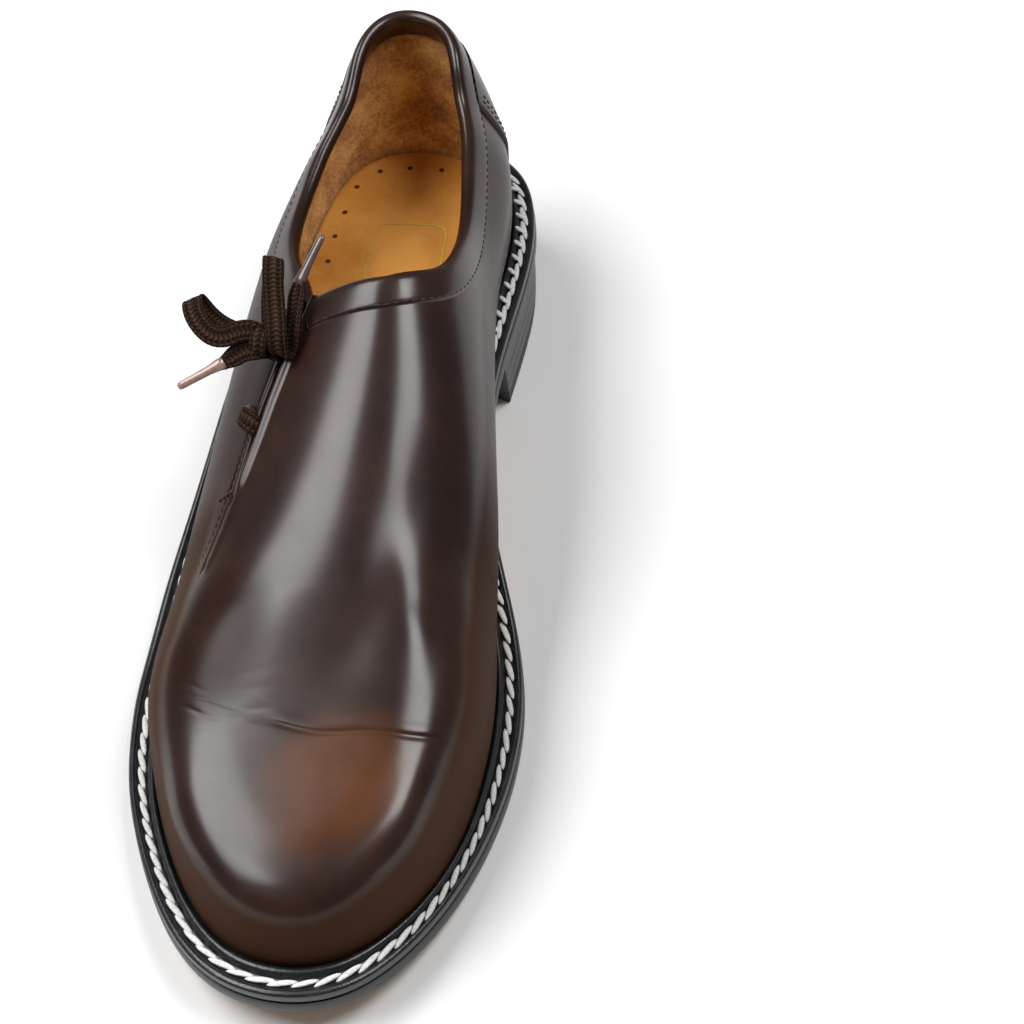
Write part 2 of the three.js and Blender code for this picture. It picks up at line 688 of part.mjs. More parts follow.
// The insole lies inside the upper, and its thick middle fills the ring of the welt
function makeInsole() {
  const rim = (side, t) => marginAt(side, t) + UPPER_WALL + INSOLE_CLEARANCE;
  const core = (side, t) => marginAt(side, t) + LEDGE + SOLE_GAP;
  const sheet = plate(STATIONS, { inset: rim, height: (a) => seatLine(a) + GAP },
    { inset: rim, height: (a) => seatLine(a) + GAP + INSOLE_THICKNESS });
  const filler = plate(STATIONS, { inset: core, height: (a) => soleRise(a) + OUTSOLE_THICKNESS + SOLE_GAP },
    { inset: core, height: (a) => seatLine(a) + GAP + INSOLE_THICKNESS / 2 });
  return sheet.add(filler);
}

function makeOutsole() {
  const edge = () => 0;
  return plate(STATIONS, { inset: edge, height: soleRise },
    { inset: edge, height: (a) => soleRise(a) + OUTSOLE_THICKNESS });
}

// Heel: its front face is hollow and slopes back to the floor
const BREAST = [
  { across: -1.0, ahead: 5 },
  { across: -0.5, ahead: 1.6 },
  { across: 0.0, ahead: 0 },
  { across: 0.5, ahead: 3.2 },
  { across: 1.0, ahead: 10 },
];
const breastOf = curve(BREAST, 'ahead', (row) => row.across);

function breastCutter(clearance) {
  const half = 0.36 * BALL_WIDTH;
  const sections = [];
  for (let k = -6; k <= 6; k += 1) {
    const along = HEEL_LENGTH + breastOf(k / 6).value;
    const high = HEEL_HEIGHT + clearance;
    const corners = [[along - HEEL_SLOPE, -1], [along, high], [SOLE_LENGTH, high], [SOLE_LENGTH, -1]];
    sections.push(corners.map(([a, z]) => at3((k / 6) * half * (Math.abs(k) === 6 ? 2 : 1), a, z)));
  }
  return tube(sections);
}

function heelPart(low, high, insetLow, insetHigh) {
  const stations = STATIONS.filter((t) => shareOf(t) * SOLE_LENGTH < HEEL_LENGTH + 30);
  return plate(stations, { inset: () => insetLow, height: () => low }, { inset: () => insetHigh, height: () => high })
    .subtract(breastCutter(GAP));
}

function makeHeelStack() {
  return heelPart(LIFT_THICKNESS + GAP, HEEL_HEIGHT - GAP, HEEL_INSET + 0.6, HEEL_INSET);
}

function makeHeelLift() {
  let lift = heelPart(0, LIFT_THICKNESS, HEEL_INSET + 1.2, HEEL_INSET + 0.6);
  for (const along of [GROOVE_BACK, GROOVE_FRONT]) {
    const cut = wasm.Manifold.cube([2 * BALL_WIDTH, GROOVE_WIDTH, 2 * GROOVE_DEPTH], true);
    const place = at3(0, along, 0);
    lift = lift.subtract(cut.rotate([0, 0, GROOVE_TURN]).translate(place.toArray()));
  }
  return lift;
}

// Eyelet: a ring with a flange on the quarter and a barrel through it
function makeEyelet(place) {
  const [bore, barrel] = [EYELET_BORE, EYELET_BORE + 0.5];
  const rim = EYELET_HOLE + 0.75;
  const profile = [[bore, -UPPER_WALL], [barrel, -UPPER_WALL], [barrel, GAP], [rim, GAP + 0.1], [rim, 0.8],
    [barrel + 0.1, 1.1], [bore, 0.8]];
  return standAt(wasm.Manifold.revolve([profile], 14), place);
}

// Lace over the slit: out of the eyelet, over the flange and down between the two edges.
// share: way from the eyelet to the middle of the slit; lift: height over the leather;
// extra: how much of the layer on top of the leather is added to that.
const BAR_PATH = [
  { share: 0.00, lift: -1.3, extra: 0.0, width: 2.5 },
  { share: 0.00, lift: 0.9, extra: 0.0, width: 2.5 },
  { share: 0.06, lift: 2.1, extra: 0.2, width: 3.2 },
  { share: 0.28, lift: 2.8, extra: 0.8, width: 5.0 },
  { share: 0.56, lift: 2.4, extra: 1.0, width: 5.6 },
  { share: 0.80, lift: 1.7, extra: 1.0, width: 5.6 },
  { share: 0.95, lift: 0.7, extra: 1.0, width: 5.6 },
  { share: 1.00, lift: -0.5, extra: 0.6, width: 5.6 },
  { share: 1.00, lift: -1.6, extra: 0.0, width: 5.6 },
];

function makeBar(place, layer) {
  const at = shareOf(place.t);
  const wide = skin(OUTER, angleOf(at + 0.01), slitOf(at + 0.01).value)
    .sub(skin(OUTER, angleOf(at - 0.01), slitOf(at - 0.01).value));
  const rows = BAR_PATH.map(({ share, lift, extra, width }) => {
    const up = THREE.MathUtils.lerp(place.up, slitOf(at).value, share);
    const normal = skinNormal(OUTER, place.t, up);
    return { place: skin(OUTER, place.t, up).addScaledVector(normal, lift + extra * layer), width, wide };
  });
  return flatBand(rows, LACE_THICKNESS);
}

// Bow: a knot over the top eyelet, two loops and two ends with their tips. Places are x, along, z.
const KNOT = { place: [-23.0, 132.5, 80.5], size: [4.2, 3.6, 3.0] };
const BOW = {
  loop_up: {
    wide: [1, 0.1, 0.1],
    path: [[-21.6, 131.5, 85.0], [-21.5, 127.5, 88.0], [-21.0, 122.5, 91.5], [-21.0, 118.0, 94.2],
      [-21.4, 114.4, 94.2], [-22.2, 113.2, 91.4], [-22.8, 115.4, 87.0], [-23.0, 120.0, 83.4], [-23.0, 126.2, 81.4]],
  },
  loop_side: {
    wide: [0, 0.35, 1],
    path: [[-28.0, 134.4, 83.2], [-33.0, 136.0, 83.8], [-39.0, 132.4, 83.2], [-43.6, 126.0, 81.8],
      [-46.2, 119.6, 80.2], [-45.6, 116.6, 79.4], [-42.0, 118.4, 79.4], [-36.0, 123.6, 79.4], [-28.6, 129.6, 79.6]],
  },
  end_low: {
    wide: [0.3, 1, 0.2],
    path: [[-26.2, 135.6, 78.8], [-29.6, 137.9, 78.5], [-33.6, 140.0, 78.2], [-36.2, 141.2, 78.0]],
  },
  end_high: {
    wide: [1, 0.2, -0.3],
    path: [[-16.6, 133.6, 84.4], [-15.4, 130.6, 87.2], [-14.0, 127.4, 90.2], [-12.6, 124.6, 92.6]],
  },
};

function makeKnot() {
  return wasm.Manifold.sphere(1, 12).scale(KNOT.size).translate(at3(...KNOT.place).toArray());
}

function bowBand({ path, wide }) {
  const line = new THREE.CatmullRomCurve3(path.map((p) => at3(...p)));
  const count = 2 * path.length;
  const direction = new THREE.Vector3(...wide);
  return flatBand(line.getPoints(count).map((place) => ({ place, wide: direction, width: LACE_WIDTH })),
    LACE_THICKNESS);
}

function makeTip({ path }) {
  const end = at3(...path[path.length - 1]);
  const run = end.clone().sub(at3(...path[path.length - 2])).normalize();
  const tip = wasm.Manifold.cylinder(TIP_LENGTH, TIP_RADIUS, TIP_RADIUS * 0.8, 8);
  return stand(tip, end.addScaledVector(run, GAP + 0.6), run);
}

const PARTS = [];

function add(name, solid, color, roughness, metalness = 0) {
  const material = new THREE.MeshStandardMaterial({ color, roughness, metalness });
  const mesh = new THREE.Mesh(toGeometry(solid), material);
  mesh.name = name;
  PARTS.push(mesh);
}

const BROWN = 0x3a1f15;
const BLACK = 0x17171a;
const TAN = 0xb89468;
const LACE = 0x4a3326;

add('upper', makeUpper(), BROWN, 0.35);
add('collar_band', makeCollarBand(), BROWN, 0.4);
add('counter', makeCounter(), BROWN, 0.35);
add('tongue', makeTongue(), BROWN, 0.6);
add('insole', makeInsole(), 0xb08140, 0.5);
add('welt', makeWelt(), BLACK, 0.35);
add('outsole', makeOutsole(), TAN, 0.7);
add('heel_stack', makeHeelStack(), BLACK, 0.35);
add('heel_lift', makeHeelLift(), 0x1b1b1c, 0.8);
add('eyelet_top', makeEyelet(eyelets.top), 0x5a3a28, 0.4);
add('eyelet_low', makeEyelet(eyelets.low), 0x5a3a28, 0.4);
add('lace_bar_top', makeBar(eyelets.top, GAP + COLLAR_THICKNESS), LACE, 0.8);
add('lace_bar_low', makeBar(eyelets.low, 0), LACE, 0.8);
add('lace_knot', makeKnot(), LACE, 0.8);
add('lace_loop_up', bowBand(BOW.loop_up), LACE, 0.8);
add('lace_loop_side', bowBand(BOW.loop_side), LACE, 0.8);
add('lace_end_low', bowBand(BOW.end_low), LACE, 0.8);
add('lace_end_high', bowBand(BOW.end_high), LACE, 0.8);
add('lace_tip_low', makeTip(BOW.end_low), 0xc9a08a, 0.3);
add('lace_tip_high', makeTip(BOW.end_high), 0x3b2a22, 0.3);

const shoe = new THREE.Group();
shoe.add(...PARTS);

export default shoe;
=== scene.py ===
import math
import random

import bmesh
import bpy
import numpy as np
from mathutils import Matrix, Vector


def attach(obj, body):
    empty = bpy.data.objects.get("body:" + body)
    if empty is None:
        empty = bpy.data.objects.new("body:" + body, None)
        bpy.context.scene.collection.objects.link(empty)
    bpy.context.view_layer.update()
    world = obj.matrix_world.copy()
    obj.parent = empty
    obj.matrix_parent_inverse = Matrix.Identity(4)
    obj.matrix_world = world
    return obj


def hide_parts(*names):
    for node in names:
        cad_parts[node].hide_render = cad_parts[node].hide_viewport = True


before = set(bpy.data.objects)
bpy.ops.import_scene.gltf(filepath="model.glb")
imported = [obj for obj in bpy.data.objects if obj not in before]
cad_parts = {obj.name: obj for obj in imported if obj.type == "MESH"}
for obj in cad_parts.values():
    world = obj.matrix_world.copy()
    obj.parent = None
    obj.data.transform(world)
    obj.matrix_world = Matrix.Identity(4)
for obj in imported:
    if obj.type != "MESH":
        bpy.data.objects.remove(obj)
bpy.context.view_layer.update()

MM = 0.001
random.seed(7)

# Sizes of the shoe, as in its solids. Places along it are shares of the sole's length.
SOLE_LENGTH = 302
BALL_WIDTH = 111.6
INSTEP_RISE = 64
HEEL_HEIGHT = 24
TOE_SPRING = 10
OUTSOLE_THICKNESS = 5
WELT_THICKNESS = 4
WELT_MARGIN = 8
UPPER_WALL = 2
LIFT_THICKNESS = 6
HEEL_LENGTH = 80
GAP = 0.3
HEEL_POLE = 0.166
TOE_POLE = 0.656
LOWER = 0.25
THROAT = 0.392
SEAT_END = 0.305
FLAT_START = 0.66
FLAT_END = 0.70
SPRING_POWER = 1.7
SLIT_END = 0.555
SLIT_WIDTH = 2.8

# Plan of the sole: place along it, then the inner and outer distance as shares of the ball width
OUTLINE = [
    (0.000, 0.006, -0.006), (0.015, 0.174, 0.150), (0.050, 0.289, 0.252), (0.100, 0.343, 0.308),
    (0.160, 0.357, 0.338), (0.240, 0.340, 0.365), (0.320, 0.319, 0.390), (0.400, 0.318, 0.418),
    (0.480, 0.355, 0.452), (0.560, 0.425, 0.488), (0.620, 0.467, 0.503), (0.670, 0.484, 0.508),
    (0.720, 0.484, 0.499), (0.780, 0.464, 0.469), (0.840, 0.424, 0.413), (0.900, 0.361, 0.335),
    (0.950, 0.279, 0.243), (0.985, 0.179, 0.129), (1.000, 0.033, -0.033),
]
# Width of the welt outside the upper, as a share of the welt margin: inner, outer
MARGIN = [
    (0.00, 1.00, 1.00), (0.15, 0.92, 0.92), (0.35, 0.88, 0.90), (0.50, 0.90, 1.02), (0.60, 0.98, 1.18),
    (0.68, 1.00, 1.16), (0.75, 0.92, 1.08), (0.83, 0.76, 1.02), (0.92, 0.86, 1.08), (1.00, 1.22, 1.22),
]
# Crest of the last: height as a share of the instep rise, side shift as a share of the ball width
CREST = [
    (0.00, 1.06, 0.000), (0.17, 1.06, 0.010), (0.27, 1.05, 0.045), (0.33, 1.03, 0.070), (0.39, 1.00, 0.090),
    (0.47, 0.96, 0.090), (0.55, 0.92, 0.075), (0.66, 0.81, 0.055), (0.78, 0.62, 0.040), (0.87, 0.50, 0.035),
    (0.94, 0.40, 0.035), (1.00, 0.33, 0.035),
]
# Sections of the upper: place, girth, swell, wall, roof
INNER_SECTIONS = [
    (0.00, 0.35, 0.040, 1.00, 1.00), (0.02, 0.35, 0.026, 0.76, 0.72), (0.05, 0.34, 0.010, 0.45, 0.35),
    (0.10, 0.34, 0.008, 0.28, 0.16), (0.16, 0.33, 0.019, 0.24, 0.12), (0.25, 0.33, 0.040, 0.30, 0.22),
    (0.32, 0.34, 0.068, 0.42, 0.40), (0.40, 0.37, 0.094, 0.52, 0.50), (0.50, 0.37, 0.078, 0.58, 0.54),
    (0.60, 0.29, 0.022, 0.58, 0.57), (0.70, 0.21, 0.014, 0.76, 0.76), (0.81, 0.15, 0.009, 0.96, 0.94),
    (0.90, 0.125, 0.009, 1.08, 1.04), (1.00, 0.125, 0.009, 1.14, 1.08),
]
OUTER_SECTIONS = [
    (0.00, 0.35, 0.040, 1.00, 1.00), (0.02, 0.34, 0.022, 0.74, 0.68), (0.05, 0.33, 0.006, 0.42, 0.32),
    (0.10, 0.32, 0.004, 0.26, 0.12), (0.16, 0.31, 0.014, 0.20, 0.08), (0.25, 0.29, 0.022, 0.18, 0.10),
    (0.32, 0.24, 0.014, 0.34, 0.18), (0.40, 0.20, 0.008, 0.44, 0.28), (0.50, 0.19, 0.003, 0.44, 0.38),
    (0.60, 0.18, 0.002, 0.52, 0.50), (0.70, 0.18, 0.004, 0.72, 0.70), (0.81, 0.14, 0.005, 0.94, 0.92),
    (0.90, 0.125, 0.006, 1.08, 1.04), (1.00, 0.125, 0.009, 1.14, 1.08),
]
# The opening's edge, as a share of the way up: inner, outer
TOPLINE = [
    (0.000, 0.540, 0.540), (0.020, 0.595, 0.585), (0.050, 0.592, 0.600), (0.110, 0.570, 0.597),
    (0.180, 0.555, 0.565), (0.240, 0.540, 0.542), (0.290, 0.560, 0.562), (0.330, 0.620, 0.612),
    (0.355, 0.690, 0.658), (0.373, 0.790, 0.690), (0.384, 0.900, 0.706), (0.392, 1.000, 0.715),
]
SLIT = [(0.392, 0.710), (0.430, 0.672), (0.480, 0.642), (0.520, 0.627), (0.555, 0.620)]


class Curve:
    """A smooth line through the rows of a table, with its slope."""

    def __init__(self, x, y):
        self.x, self.y = np.array(x, float), np.array(y, float)
        n = len(x)
        bend, carry = np.zeros(n), np.zeros(n)
        for i in range(1, n - 1):
            before, after = self.x[i] - self.x[i - 1], self.x[i + 1] - self.x[i]
            span = self.x[i + 1] - self.x[i - 1]
            turn = (self.y[i + 1] - self.y[i]) / after - (self.y[i] - self.y[i - 1]) / before
            pivot = (before / span) * bend[i - 1] + 2
            bend[i] = (before / span - 1) / pivot
            carry[i] = ((6 * turn) / span - (before / span) * carry[i - 1]) / pivot
        for i in range(n - 2, -1, -1):
            bend[i] = bend[i] * bend[i + 1] + carry[i]
        self.bend = bend

    def parts(self, wanted):
        p = np.clip(np.asarray(wanted, float), self.x[0], self.x[-1])
        i = np.clip(np.searchsorted(self.x, p, side="left") - 1, 0, len(self.x) - 2)
        h = self.x[i + 1] - self.x[i]
        b = (p - self.x[i]) / h
        return i, h, b, 1 - b

    def __call__(self, wanted):
        i, h, b, a = self.parts(wanted)
        return (a * self.y[i] + b * self.y[i + 1]
                + ((a ** 3 - a) * self.bend[i] + (b ** 3 - b) * self.bend[i + 1]) * h * h / 6)

    def slope(self, wanted):
        i, h, b, a = self.parts(wanted)
        return ((self.y[i + 1] - self.y[i]) / h
                + ((1 - 3 * a * a) * self.bend[i] + (3 * b * b - 1) * self.bend[i + 1]) * h / 6)


def angle_of(at):
    return np.arccos(1 - 2 * np.asarray(at, float)) / np.pi


def share_of(t):
    return (1 - np.cos(np.pi * np.asarray(t, float))) / 2


def table_curve(rows, column, place=None):
    x = [row[0] for row in rows]
    return Curve(place(x) if place else x, [row[column] for row in rows])


INNER, OUTER = 1, -1
outline_of = {INNER: table_curve(OUTLINE, 1, angle_of), OUTER: table_curve(OUTLINE, 2, angle_of)}
margin_of = {INNER: table_curve(MARGIN, 1), OUTER: table_curve(MARGIN, 2)}
crest_rise, crest_shift = table_curve(CREST, 1), table_curve(CREST, 2)
section_of = {
    side: [table_curve(rows, k) for k in (1, 2, 3, 4)]
    for side, rows in ((INNER, INNER_SECTIONS), (OUTER, OUTER_SECTIONS))
}
topline_of = {INNER: table_curve(TOPLINE, 1), OUTER: table_curve(TOPLINE, 2)}
slit_of = table_curve(SLIT, 1)


def sole_rise(along):
    """Height of the sole's underside: heel, flat ball and toe spring."""
    at = np.asarray(along, float) / SOLE_LENGTH
    q = np.clip((at - SEAT_END) / (FLAT_START - SEAT_END), 0, 1)
    toe = np.maximum(0, (at - FLAT_END) / (1 - FLAT_END))
    return HEEL_HEIGHT * (1 - q * q * (3 - 2 * q)) + TOE_SPRING * toe ** SPRING_POWER


def seat_line(along):
    return sole_rise(along) + OUTSOLE_THICKNESS + WELT_THICKNESS


def plan_point(side, t, inset):
    """x and along of a place on the sole's outline, or at an inset from it."""
    t = np.asarray(t, float)
    dx = side * outline_of[side].slope(t) * BALL_WIDTH
    da = SOLE_LENGTH * np.pi * np.sin(np.pi * t) / 2
    size = np.maximum(np.hypot(dx, da), 1e-9)
    x = side * outline_of[side](t) * BALL_WIDTH - side * da * inset / size
    return x, share_of(t) * SOLE_LENGTH + side * dx * inset / size


ball_places = angle_of(np.linspace(0.5, 0.8, 301))
widest = [float(np.max(side * plan_point(side, ball_places, 0)[0])) for side in (INNER, OUTER)]
MIDDLE = (widest[0] - widest[1]) / 2


def at3(x, along, z):
    x, along, z = np.broadcast_arrays(np.asarray(x, float), along, z)
    return np.stack([x - MIDDLE, SOLE_LENGTH / 2 - along, z], -1)


def margin_at(side, t):
    return WELT_MARGIN * margin_of[side](share_of(t))


def skin(side, t, up):
    """Point of the last's surface, up = 0 at the seat line and 1 at the crest."""
    t, up = np.broadcast_arrays(np.asarray(t, float), np.asarray(up, float))
    at = share_of(t)
    foot_x, foot_along = plan_point(side, t, margin_at(side, t))
    top = np.clip(at, HEEL_POLE, TOE_POLE)
    top_x, top_along = crest_shift(top) * BALL_WIDTH, top * SOLE_LENGTH
    dx, da = foot_x - top_x, foot_along - top_along
    reach = np.hypot(dx, da)
    girth, swell, wall, roof = [c(at) for c in section_of[side]]
    girth, swell = girth * INSTEP_RISE, swell * BALL_WIDTH
    seat = seat_line(foot_along) + GAP
    low = np.clip(up / LOWER, 0, 1)
    r_low = reach + swell * (2 * low - low * low)
    q = np.clip((up - LOWER) / (1 - LOWER), 0, 1)
    p = 1 - q
    r_high = (reach + swell) * (p ** 3 + 3 * p * p * q + 3 * p * q * q * roof)
    climb = 3 * p * p * q * wall + 3 * p * q * q + q ** 3
    r = np.where(up <= LOWER, r_low, r_high)
    along = top_along + da * r / reach
    crest = seat_line(along) + INSTEP_RISE * crest_rise(along / SOLE_LENGTH)
    z = np.where(up <= LOWER, seat + girth * low, seat + girth + (crest - seat - girth) * climb)
    return at3(top_x + dx * r / reach, along, z)


def unit(v):
    return v / np.maximum(np.linalg.norm(v, axis=-1, keepdims=True), 1e-12)


NUDGE = 1e-3  # step along or up the surface, for its slopes


def skin_normal(side, t, up):
    t, up = np.broadcast_arrays(np.asarray(t, float), np.asarray(up, float))
    edge = skin(side, np.minimum(t + NUDGE, 1), up) - skin(side, np.maximum(t - NUDGE, 0), up)
    rib = skin(side, t, np.minimum(up + NUDGE, 1)) - skin(side, t, np.maximum(up - NUDGE, 0))
    return unit(np.cross(edge, rib) * -side)


def near_skin(side, t, up, way, distance):
    """The place on the surface at a distance from another, in a direction given for each place."""
    goal = skin(side, t, up) + way * distance
    t, up = np.array(t, float), np.array(up, float)

    def slope(by_t, by_up):
        ends = [skin(side, np.clip(t + s * by_t, 0, 1), np.clip(up + s * by_up, 0, 1)) for s in (1, -1)]
        return (ends[0] - ends[1]) / (2 * NUDGE)

    for _ in range(6):
        miss = goal - skin(side, t, up)
        dt, du = slope(NUDGE, 0), slope(0, NUDGE)
        a, b, c = (dt * dt).sum(-1), (dt * du).sum(-1), (du * du).sum(-1)
        e, f = (dt * miss).sum(-1), (du * miss).sum(-1)
        det = np.maximum(a * c - b * b, 1e-9)
        t = np.clip(t + np.clip((e * c - f * b) / det, -0.05, 0.05), 0.0005, 0.9995)
        up = np.clip(up + np.clip((f * a - e * b) / det, -0.08, 0.08), 0, 1)
    return t, up


PHOTO_WIDTH, SENSOR_WIDTH = 1024, 36
CAMERA_TARGET = Vector((-MIDDLE, 1, 30))


def aim_camera():
    """Puts the camera where the photo was taken from: angles in degrees, distances in millimetres."""
    azimuth, elevation, roll = [math.radians(v) for v in (11.874, 51.457, -6.125)]
    distance, across, upward, focal_pixels = 807.54, 45.462, -1.241, 2808.15
    back = Vector((math.sin(azimuth) * math.cos(elevation), -math.cos(azimuth) * math.cos(elevation),
                   math.sin(elevation)))
    right = Vector((math.cos(azimuth), math.sin(azimuth), 0))
    up = back.cross(right)
    turned_right = math.cos(roll) * right + math.sin(roll) * up
    turned_up = -math.sin(roll) * right + math.cos(roll) * up
    place = CAMERA_TARGET + back * distance + turned_right * across + turned_up * upward
    data = bpy.data.cameras.new("camera")
    data.sensor_width = SENSOR_WIDTH
    data.lens = focal_pixels / PHOTO_WIDTH * SENSOR_WIDTH
    data.clip_start, data.clip_end = 0.01, 20
    camera = bpy.data.objects.new("camera", data)
    bpy.context.scene.collection.objects.link(camera)
    axes = Matrix((turned_right, turned_up, back)).transposed().to_4x4()
    camera.matrix_world = Matrix.Translation(place * MM) @ axes
    bpy.context.scene.camera = camera


aim_camera()


class Value:
    """A socket in a material. Operators on it add Math nodes."""

    def __init__(self, paint, socket):
        self.paint, self.socket = paint, socket

    def math(self, operation, *others, clamp=False):
        return self.paint.node("ShaderNodeMath", {"operation": operation, "use_clamp": clamp}, self, *others)

    def after(self, operation, first):
        return self.paint.node("ShaderNodeMath", {"operation": operation}, first, self)

    def __add__(self, other): return self.math("ADD", other)
    def __radd__(self, other): return self.math("ADD", other)
    def __sub__(self, other): return self.math("SUBTRACT", other)
    def __mul__(self, other): return self.math("MULTIPLY", other)
    def __rmul__(self, other): return self.math("MULTIPLY", other)
    def __truediv__(self, other): return self.math("DIVIDE", other)
    def __pow__(self, other): return self.math("POWER", other)
    def __neg__(self): return self.math("MULTIPLY", -1)
    def __abs__(self): return self.math("ABSOLUTE")
    def __rsub__(self, other): return self.after("SUBTRACT", other)
    def __rtruediv__(self, other): return self.after("DIVIDE", other)
    def sin(self): return self.math("SINE")
    def low(self, other): return self.math("MINIMUM", other)
    def high(self, other): return self.math("MAXIMUM", other)
    def clamped(self): return self.math("ADD", 0, clamp=True)

    def step(self, start, end):
        """0 before start, 1 after end, smooth between them."""
        return self.paint.node("ShaderNodeMapRange", {"interpolation_type": "SMOOTHSTEP"},
                               **{"Value": self, "From Min": start, "From Max": end})


class Paint:
    """A material and its nodes."""

    def __init__(self, name, **constants):
        self.material = bpy.data.materials.new(name)
        self.material.use_nodes = True
        self.tree = self.material.node_tree
        self.shader = self.tree.nodes["Principled BSDF"]
        for key, value in constants.items():
            self.shader.inputs[key.replace("_", " ")].default_value = value

    def node(self, kind, settings=(), *inputs, out=0, **named):
        made = self.tree.nodes.new(kind)
        for key, value in dict(settings).items():
            if key == "stops":
                ramp = made.color_ramp
                while len(ramp.elements) < len(value):
                    ramp.elements.new(0.5)
                for element, (place, color) in zip(ramp.elements, value):
                    element.position, element.color = place, (*color, 1)
            else:
                setattr(made, key, value)
        for key, value in [*enumerate(inputs), *named.items()]:
            self.join(value, made.inputs[key])
        return Value(self, made.outputs[out])

    def join(self, value, socket):
        if isinstance(value, Value):
            self.tree.links.new(value.socket, socket)
        elif value is not None:
            if isinstance(value, tuple) and len(value) == 3 and len(socket.default_value) == 4:
                value = (*value, 1)
            socket.default_value = value

    def place(self):
        """Object coordinates in millimetres."""
        spot = self.node("ShaderNodeTexCoord", out="Object")
        return self.node("ShaderNodeVectorMath", {"operation": "SCALE"}, spot, Scale=1 / MM)

    def axes(self, vector):
        split = self.node("ShaderNodeSeparateXYZ", (), vector).socket.node
        return [Value(self, split.outputs[k]) for k in range(3)]

    def noise(self, where, scale, detail=3.0, rough=0.5, out=0):
        return self.node("ShaderNodeTexNoise", {"noise_dimensions": "3D"}, out=out,
                         **{"Vector": where, "Scale": scale, "Detail": detail, "Roughness": rough})

    def cell_edges(self, where, scale):
        return self.node("ShaderNodeTexVoronoi", {"feature": "DISTANCE_TO_EDGE"}, out="Distance",
                         **{"Vector": where, "Scale": scale})

    def mix(self, factor, first, second, blend="MIX"):
        made = self.tree.nodes.new("ShaderNodeMix")
        made.data_type, made.blend_type = "RGBA", blend
        self.join(factor, made.inputs[0])
        self.join(first, made.inputs[6])
        self.join(second, made.inputs[7])
        return Value(self, made.outputs[2])

    def ramp(self, factor, *stops):
        return self.node("ShaderNodeValToRGB", {"stops": stops}, factor)

    def bump(self, height, distance, strength=1.0, below=None):
        named = {"Height": height, "Distance": distance, "Strength": strength}
        if below is not None:
            named["Normal"] = below
        return self.node("ShaderNodeBump", (), **named)

    def set(self, **sockets):
        for key, value in sockets.items():
            self.join(value, self.shader.inputs[key.replace("_", " ")])
        return self.material


def bent(paint, where, amount, scale):
    """Coordinates pushed about by noise."""
    push = paint.noise(where, scale, 2.0, out=1)
    centred = paint.node("ShaderNodeVectorMath", {"operation": "SUBTRACT"}, push, (0.5, 0.5, 0.5))
    moved = paint.node("ShaderNodeVectorMath", {"operation": "SCALE"}, centred, Scale=amount)
    return paint.node("ShaderNodeVectorMath", {"operation": "ADD"}, where, moved)


def oval(x, y, middle, radii):
    """0 in the middle of an oval, 1 on the oval itself and more outside."""
    return ((x - middle[0]) / radii[0]) ** 2 + ((y - middle[1]) / radii[1]) ** 2


# Colours of the box calf, from its dark clouds to its light ones, then its special places: the burnish, and a
# lighter brown for the walls that is painted sheen
CALF_DARK, CALF, CALF_PALE = (0.0130, 0.0046, 0.0028), (0.0210, 0.0074, 0.0044), (0.0330, 0.0122, 0.0072)
CALF_BURNISHED, CALF_WALL_SHEEN_PAINTED = (0.140, 0.041, 0.006), (0.068, 0.0285, 0.013)
CALF_FLECKS = (0.045, 0.019, 0.012)
# Where the polish and the colour change, in the part's own millimetres
SPRING_START, SPRING_RATE = -60, 0.0012285  # the seat line's rise towards the toe, as a parabola
ARCH_FRONT, ARCH_BACK = -48, 59  # between them the seat line climbs to the heel
RIM_SLOPE, RIM_AT_TOE, RIM_MOST = 0.27, 20, 42  # rim between the matt walls and the polished top
BURNISH_MIDDLE, BURNISH_RADII, BURNISH_LEAN = (13, -102), (22, 24), 0.25
FLEXED_MIDDLE, FLEXED_RADII = (-24, -62), (16, 26)


